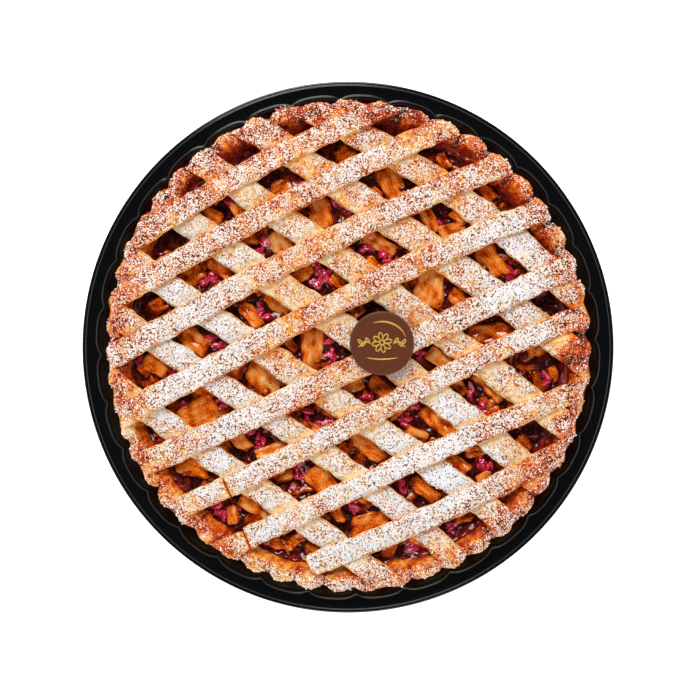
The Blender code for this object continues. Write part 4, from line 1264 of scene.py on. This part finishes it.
@dataclass(frozen=True)
class Tray:
    """The black tray: one formed sheet with a lobed well and a flat rim that ends in a bead."""
    radius: float = 152.5
    sheet: float = 1.0
    rim_top: float = 16.0
    well_floor: float = 134.0
    lobes: int = 32
    lobe_depth: float = 2.7
    lobe_start: float = math.radians(9.375)
    samples: int = 30
    # How many of the outline's lines, from the middle out, are on the side that shows.
    shown_lines: int = 29

    def profile(self) -> tuple[tuple[float, float, float], ...]:
        """The sheet's outline, from the middle out and back under it: radius, height and share of lobe."""
        top, sheet, edge, floor = self.rim_top, self.sheet, self.radius, self.well_floor
        well = ((1.5, sheet, 0.0), (60.0, sheet, 0.0), (floor - 2.0, sheet, 0.3), (floor, sheet + 0.5, 0.35),
                (136.6, 5.0, 0.55), (139.2, 10.3, 0.8), (140.8, 14.1, 1.0), (141.7, 15.2, 1.0))
        lip = ((142.1, 15.72, 1.0), (142.3, 15.82, 1.0), (142.7, 15.82, 1.0), (143.1, 15.76, 1.0),
               (143.5, 15.7, 1.0), (143.75, 16.2, 1.0), (143.9, 16.44, 1.0), (144.1, 16.54, 1.0),
               (144.3, 16.48, 1.0), (144.6, 16.26, 1.0), (144.75, 15.98, 1.0), (145.1, 15.9, 1.0))
        rim = ((147.4, 15.9, 0.3), (148.9, top + 0.22, 0.0), (149.6, top + 0.38, 0.0),
               (149.95, top + 0.45, 0.0), (150.15, top + 0.45, 0.0), (150.35, top + 0.33, 0.0),
               (150.55, top + 0.17, 0.0), (150.7, top + 0.07, 0.0), (151.7, top + 0.04, 0.0),
               (152.15, top - 0.08, 0.0))
        skirt = ((edge, top - 0.4, 0.0), (edge, top - 0.9, 0.0), (edge, top - 2.7, 0.0),
                 (edge - 0.2, top - 3.0, 0.0), (edge - 0.8, top - 3.0, 0.0), (edge - 1.0, top - 2.7, 0.0),
                 (edge - 1.1, top - 1.4, 0.0), (edge - 2.2, top - 1.0, 0.0))
        under = ((148.0, top - 1.0, 0.0), (144.6, top - 1.3, 1.0), (140.9, 9.0, 0.85), (134.4, 0.5, 0.35),
                 (133.6, 0.0, 0.3), (60.0, 0.0, 0.0), (1.5, 0.0, 0.0))
        return well + lip + rim + skirt + under

    def surface(self) -> Surface:
        """The sheet: the outline swept round, pulled in at each lobe's cusp.

        The cusp falls off as a narrow bell curve of the way from it to the lobe's middle, on a low
        shoulder, which makes lobes with nearly flat tops and narrow ridges between them.
        """
        control = np.array(self.profile())
        step = np.hypot(np.diff(control[:, 0]), np.diff(control[:, 1]))
        index = np.arange(len(step))
        counts = np.where(index < self.shown_lines, np.clip(np.ceil(step), 2, 4), 2).astype(int)
        fine = np.repeat(index, counts) + np.concatenate([np.arange(count) / count for count in counts])
        fine = np.append(fine, float(len(step)))
        rows = sampled(control, np.arange(len(control)), fine)
        rows[1:-1] = 0.15 * rows[:-2] + 0.7 * rows[1:-1] + 0.15 * rows[2:]
        angles = round_angles(self.lobes * self.samples)
        phase = self.lobes * (angles + self.lobe_start) / 2
        away = np.arcsin(np.abs(np.sin(phase))) / (math.pi / 2)
        shoulder = 1.0 - smoothstep(0.2, 0.8, away)
        cusp = self.lobe_depth * (0.78 * np.exp(-(away / 0.2) ** 1.6) + 0.22 * shoulder)
        reach, height, share = (column[:, None] for column in rows.T)
        return closed_tube(turned(reach - share * cusp, angles, height))


@dataclass(frozen=True)
class ChocolateDisc:
    """The chocolate disc on the lattice, with a plain gold ornament in lines of one width."""
    radius: float = 18.2
    thickness: float = 3.0
    line: float = 0.46

    def centre(self) -> tuple[float, float, float]:
        """The middle of the disc's underside in mm, where its solid lies."""
        low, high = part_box("chocolate_disc")
        return (low[0] + high[0]) / 2 / MM, (low[1] + high[1]) / 2 / MM, low[2] / MM

    def surface(self) -> Surface:
        """The disc: a turned outline with rounded edges."""
        edge, top = self.radius, self.thickness
        control = np.array((
            (0.4, 0.0), (8.0, 0.0), (edge - 1.0, 0.0), (edge - 0.25, 0.12), (edge, 0.5), (edge, 1.5),
            (edge, 2.3), (edge - 0.07, 2.48), (edge - 0.7, 2.94), (edge - 0.95, top),
            (edge - 2.0, top - 0.03), (12.0, top - 0.05), (6.0, top - 0.05), (0.4, top - 0.05)))
        run = np.arange(len(control))
        rows = sampled(control, run, np.linspace(0, run[-1], 44))
        return closed_tube(turned(rows[:, :1], round_angles(180), rows[:, 1:]) + np.array(self.centre()))

    def stroke(self, x: Array, y: Array, width: Array) -> Surface:
        """A thin gold line: an oval section carried along a path on the disc's top."""
        path = np.stack((x, y), axis=-1)
        along = np.gradient(path, axis=0)
        along /= np.maximum(np.linalg.norm(along, axis=1, keepdims=True), 1e-9)
        side = np.stack((-along[:, 1], along[:, 0]), axis=-1)
        turn = round_angles(8)
        flat = path[:, None, :] + side[:, None, :] * (width[:, None] * np.cos(turn))[..., None]
        level = self.thickness - 0.03 + 0.07 * np.sin(turn)[None, :] + 0 * flat[..., 0]
        grid = np.concatenate((flat, level[..., None]), axis=-1)
        return closed_tube(grid + np.array(self.centre()))

    def leaf(self, root: tuple[float, float], heading: float, length: float, width: float) -> Surface:
        """The outline of a pointed leaf: its half width is the sine of the way along it."""
        turn = np.linspace(0.0, math.tau, 60)
        out = length * (1.0 - np.cos(turn)) / 2
        across = width / 2 * np.sin(turn)
        x = root[0] + out * math.cos(heading) - across * math.sin(heading)
        y = root[1] + out * math.sin(heading) + across * math.cos(heading)
        return self.stroke(x, y, np.full(60, self.line * 0.8))

    def ornament(self) -> Surface:
        """A plain flower between two leafy sprays, under an arc and over a line."""
        sweep = np.linspace(0.0, 1.0, 120)
        swell = self.line * (0.25 + np.sin(math.pi * sweep))
        turn = math.pi * (0.62 - 0.55 * sweep)
        strokes = [self.stroke(13.6 * np.cos(turn), 11.2 * np.sin(turn) + 1.0, swell),
                   self.stroke(18.0 * (sweep - 0.5), -8.2 - 0.9 * np.sin(math.pi * sweep), 0.7 * swell)]
        for petal in range(8):
            heading = petal * math.tau / 8 + 0.2
            root = (1.2 * math.cos(heading), 1.2 * math.sin(heading) + 0.4)
            strokes.append(self.leaf(root, heading, 4.4, 2.3))
        for side in (-1, 1):
            stem = side * (6.0 + 7.6 * sweep)
            strokes.append(self.stroke(stem, -0.6 + 1.5 * np.sin(4.4 * sweep), swell))
            for share, lean in ((0.15, 0.9), (0.45, -0.8), (0.7, 0.9)):
                heading = lean if side > 0 else math.pi - lean
                root = (side * (6.0 + 7.6 * share), -0.6 + 1.5 * math.sin(4.4 * share))
                strokes.append(self.leaf(root, heading, 3.2, 1.3))
        return joined(strokes)


@dataclass(frozen=True)
class SugarGrains:
    """Clots of icing sugar that stand on the pastry: eight-sided grains, each turned its own way."""
    count: int = 23000
    seed: int = 91

    def surface(self, carriers: list[Surface]) -> Surface:
        """Scatter the grains over the pastry's points, more where its sugar attribute is higher.

        Args:
            carriers: The pastry's surfaces, with their sugar attributes.

        Returns:
            One surface with all the grains.
        """
        draw = np.random.default_rng(self.seed)
        points = np.concatenate([surface.points for surface in carriers])
        sugar = np.concatenate([surface.attributes["sugar"][:, 0] for surface in carriers])
        weight = np.clip(sugar, 0.0, 1.0) * (points[:, 2] > 25.0)
        chosen = draw.choice(len(points), self.count, p=weight / weight.sum())
        centre = points[chosen] + draw.uniform(-0.45, 0.45, (self.count, 3)) * (1, 1, 0.05)
        axes = np.array(((1, 0, 0), (0, 1, 0), (-1, 0, 0), (0, -1, 0), (0, 0, 1), (0, 0, -1)))
        turn = draw.uniform(0, math.tau, self.count)
        cos, sin = np.cos(turn)[:, None], np.sin(turn)[:, None]
        size = draw.gamma(5.0, 0.075, self.count).clip(0.16, 0.75)[:, None]
        x = (axes[:, 0] * cos - axes[:, 1] * sin) * size
        y = (axes[:, 0] * sin + axes[:, 1] * cos) * size * draw.uniform(0.6, 1.0, (self.count, 1))
        z = axes[:, 2] * size * 0.55 + 0 * cos
        corners = centre[:, None, :] + np.stack((x, y, z), axis=-1)
        # Four faces round the top corner, which is number 4, and four round the lowest, number 5.
        faces = np.array((
            (0, 1, 4), (1, 2, 4), (2, 3, 4), (3, 0, 4), (1, 0, 5), (2, 1, 5), (3, 2, 5), (0, 3, 5)))
        triangles = (faces[None] + 6 * np.arange(self.count)[:, None, None]).reshape(-1, 3)
        return Surface(corners.reshape(-1, 3), np.zeros((0, 4), dtype=int), triangles)


@dataclass(frozen=True)
class Studio:
    """A plain pale floor, soft light from the top of the plan, and the camera straight above.

    The powers are the lamps' in watts. The sky is as bright as near_floor low down, horizon between
    and overhead above.
    """
    floor_half: float = 3.0
    key_power: float = 26.7
    fill_power: float = 2.0
    front_power: float = 9.6
    overhead: float = 0.05
    horizon: float = 2.4
    near_floor: float = 0.3

    def build(self) -> None:
        """Make the floor, the lights, the world and the camera."""
        self.floor()
        self.light("key", (-0.25, 1.15, 1.35), 0.75, self.key_power, "#FFFCF8")
        self.light("fill_front", (0.2, -1.3, 1.2), 0.9, self.front_power, "#FFFFFF")
        self.light("fill_left", (-1.5, -0.1, 1.1), 1.0, self.fill_power, "#FFFFFF")
        self.light("fill_right", (1.5, -0.5, 1.1), 1.0, self.fill_power, "#FFFFFF")
        self.sky()
        bpy.context.scene.view_settings.view_transform = "Standard"
        self.camera()

    def floor(self) -> None:
        """Add the floor, which glows a little so that it stays pale."""
        mesh = bpy.data.meshes.new("floor")
        half = self.floor_half
        corners = [(-half, -half, 0), (half, -half, 0), (half, half, 0), (-half, half, 0)]
        mesh.from_pydata(corners, [], [(0, 1, 2, 3)])
        finish = Finish("pale_floor")
        grey = add_node(finish.tree, "ShaderNodeTexNoise", {"Scale": 40.0}).outputs["Fac"]
        mesh.materials.append(finish.done({
            "Base Color": finish.mix(grey, "#F7F7F7", "#FBFBFB"),
            "Roughness": 0.9,
            "Emission Color": (1.0, 1.0, 1.0, 1.0),
            "Emission Strength": 0.9,
        }))
        floor = bpy.data.objects.new("floor", mesh)
        bpy.context.collection.objects.link(floor)

    def sky(self) -> None:
        """Add the world, whose brightness changes with height."""
        world = bpy.data.worlds.new("studio")
        world.use_nodes = True
        tree = world.node_tree
        toward = add_node(tree, "ShaderNodeTexCoord").outputs["Generated"]
        height = add_node(tree, "ShaderNodeSeparateXYZ", {"Vector": toward}).outputs["Z"]
        low = map_range(tree, height, 0.14, 0.24, self.near_floor, self.horizon, smooth=True)
        level = map_range(tree, height, 0.38, 0.48, low, self.overhead, smooth=True)
        feed(tree, tree.nodes["Background"], {"Strength": level, "Color": (0.97, 0.98, 1.0, 1.0)})
        bpy.context.scene.world = world

    def light(self, name: str, place: tuple[float, float, float], size: float, power: float,
              code: str) -> None:
        """Add a square soft light at a place in metres, aimed at the tart."""
        data = bpy.data.lights.new(name, "AREA")
        data.size = size
        data.energy = power
        data.color = srgb(code)[:3]
        lamp = bpy.data.objects.new(name, data)
        lamp.location = place
        aim = -np.array(place) / np.linalg.norm(place)
        yaw = math.atan2(aim[0], aim[1])
        lamp.rotation_euler = (math.acos(-aim[2]), 0.0, -yaw)
        bpy.context.collection.objects.link(lamp)

    def camera(self) -> None:
        """Add the camera, so that the tray fills the frame as in the plan."""
        data = bpy.data.cameras.new("camera")
        half_width = PLAN_SIZE / 2 * PLAN_SCALE
        data.sensor_width = 36.0
        data.lens = 18.0 * (VIEW_HEIGHT - RIM_LEVEL) / half_width
        data.clip_end = 10.0
        camera = bpy.data.objects.new("camera", data)
        x, y = on_plan(PLAN_SIZE / 2, PLAN_SIZE / 2, RIM_LEVEL)
        camera.location = (float(x) * MM, float(y) * MM, VIEW_HEIGHT * MM)
        bpy.context.collection.objects.link(camera)
        bpy.context.scene.camera = camera


def build_lattice(crust: Crust, dusting: Dusting, pastry: bpy.types.Material) -> list[Surface]:
    """Make every strip of the lattice.

    Args:
        crust: What the strips' ends lie on.
        dusting: The sugar and the browning.
        pastry: The finish.

    Returns:
        The strips' surfaces, for the sugar grains.
    """
    under = [Ribbon(strip, crust, Layer.UNDER, []) for strip in UNDER_STRIPS]
    over = [Ribbon(strip, crust, Layer.OVER, under, full=3.3, rest=29.6) for strip in OVER_STRIPS]
    surfaces = []
    for ribbon in under + over:
        above = over if ribbon.layer is Layer.UNDER else []
        surface = ribbon.surface(dusting, above)
        name = ribbon.strip.name
        add_piece(f"baked_{name}", surface, pastry, (name,))
        surfaces.append(surface)
    return surfaces


def main() -> None:
    """Build each part of the tart, its tray and the studio."""
    logging.basicConfig(level=logging.INFO, format="%(message)s")
    dusting, crust = Dusting(), Crust()
    pastry = DustedPastry().build()
    Studio().build()
    add_piece("formed_tray", Tray().surface(), FormedPlastic().build(), ("tray",))
    shell = crust.surface(dusting)
    add_piece("baked_crust", shell, pastry, ("crust",))
    filling = Filling(crust)
    add_piece("fruit_sauce", filling.sauce(), SAUCE.build(), ("filling",))
    cooked = GlazedApple().build()
    add_piece("apple_pieces", filling.apple(), cooked, ("filling",))
    add_piece("stewed_apple", filling.stewed_apple(), cooked, ("filling",))
    add_piece("red_berries", filling.berries(), BERRY.build(), ("filling",))
    add_piece("berry_pulp", filling.pulp(), PULP.build(), ("filling",))
    strips = build_lattice(crust, dusting, pastry)
    disc = ChocolateDisc()
    add_piece("chocolate_round", disc.surface(), CHOCOLATE.build(), ("chocolate_disc",))
    add_piece("gold_ornament", disc.ornament(), GOLD.build())
    add_piece("sugar_grains", SugarGrains().surface([shell, *strips]), SUGAR.build())


if __name__ == "__main__":
    main()
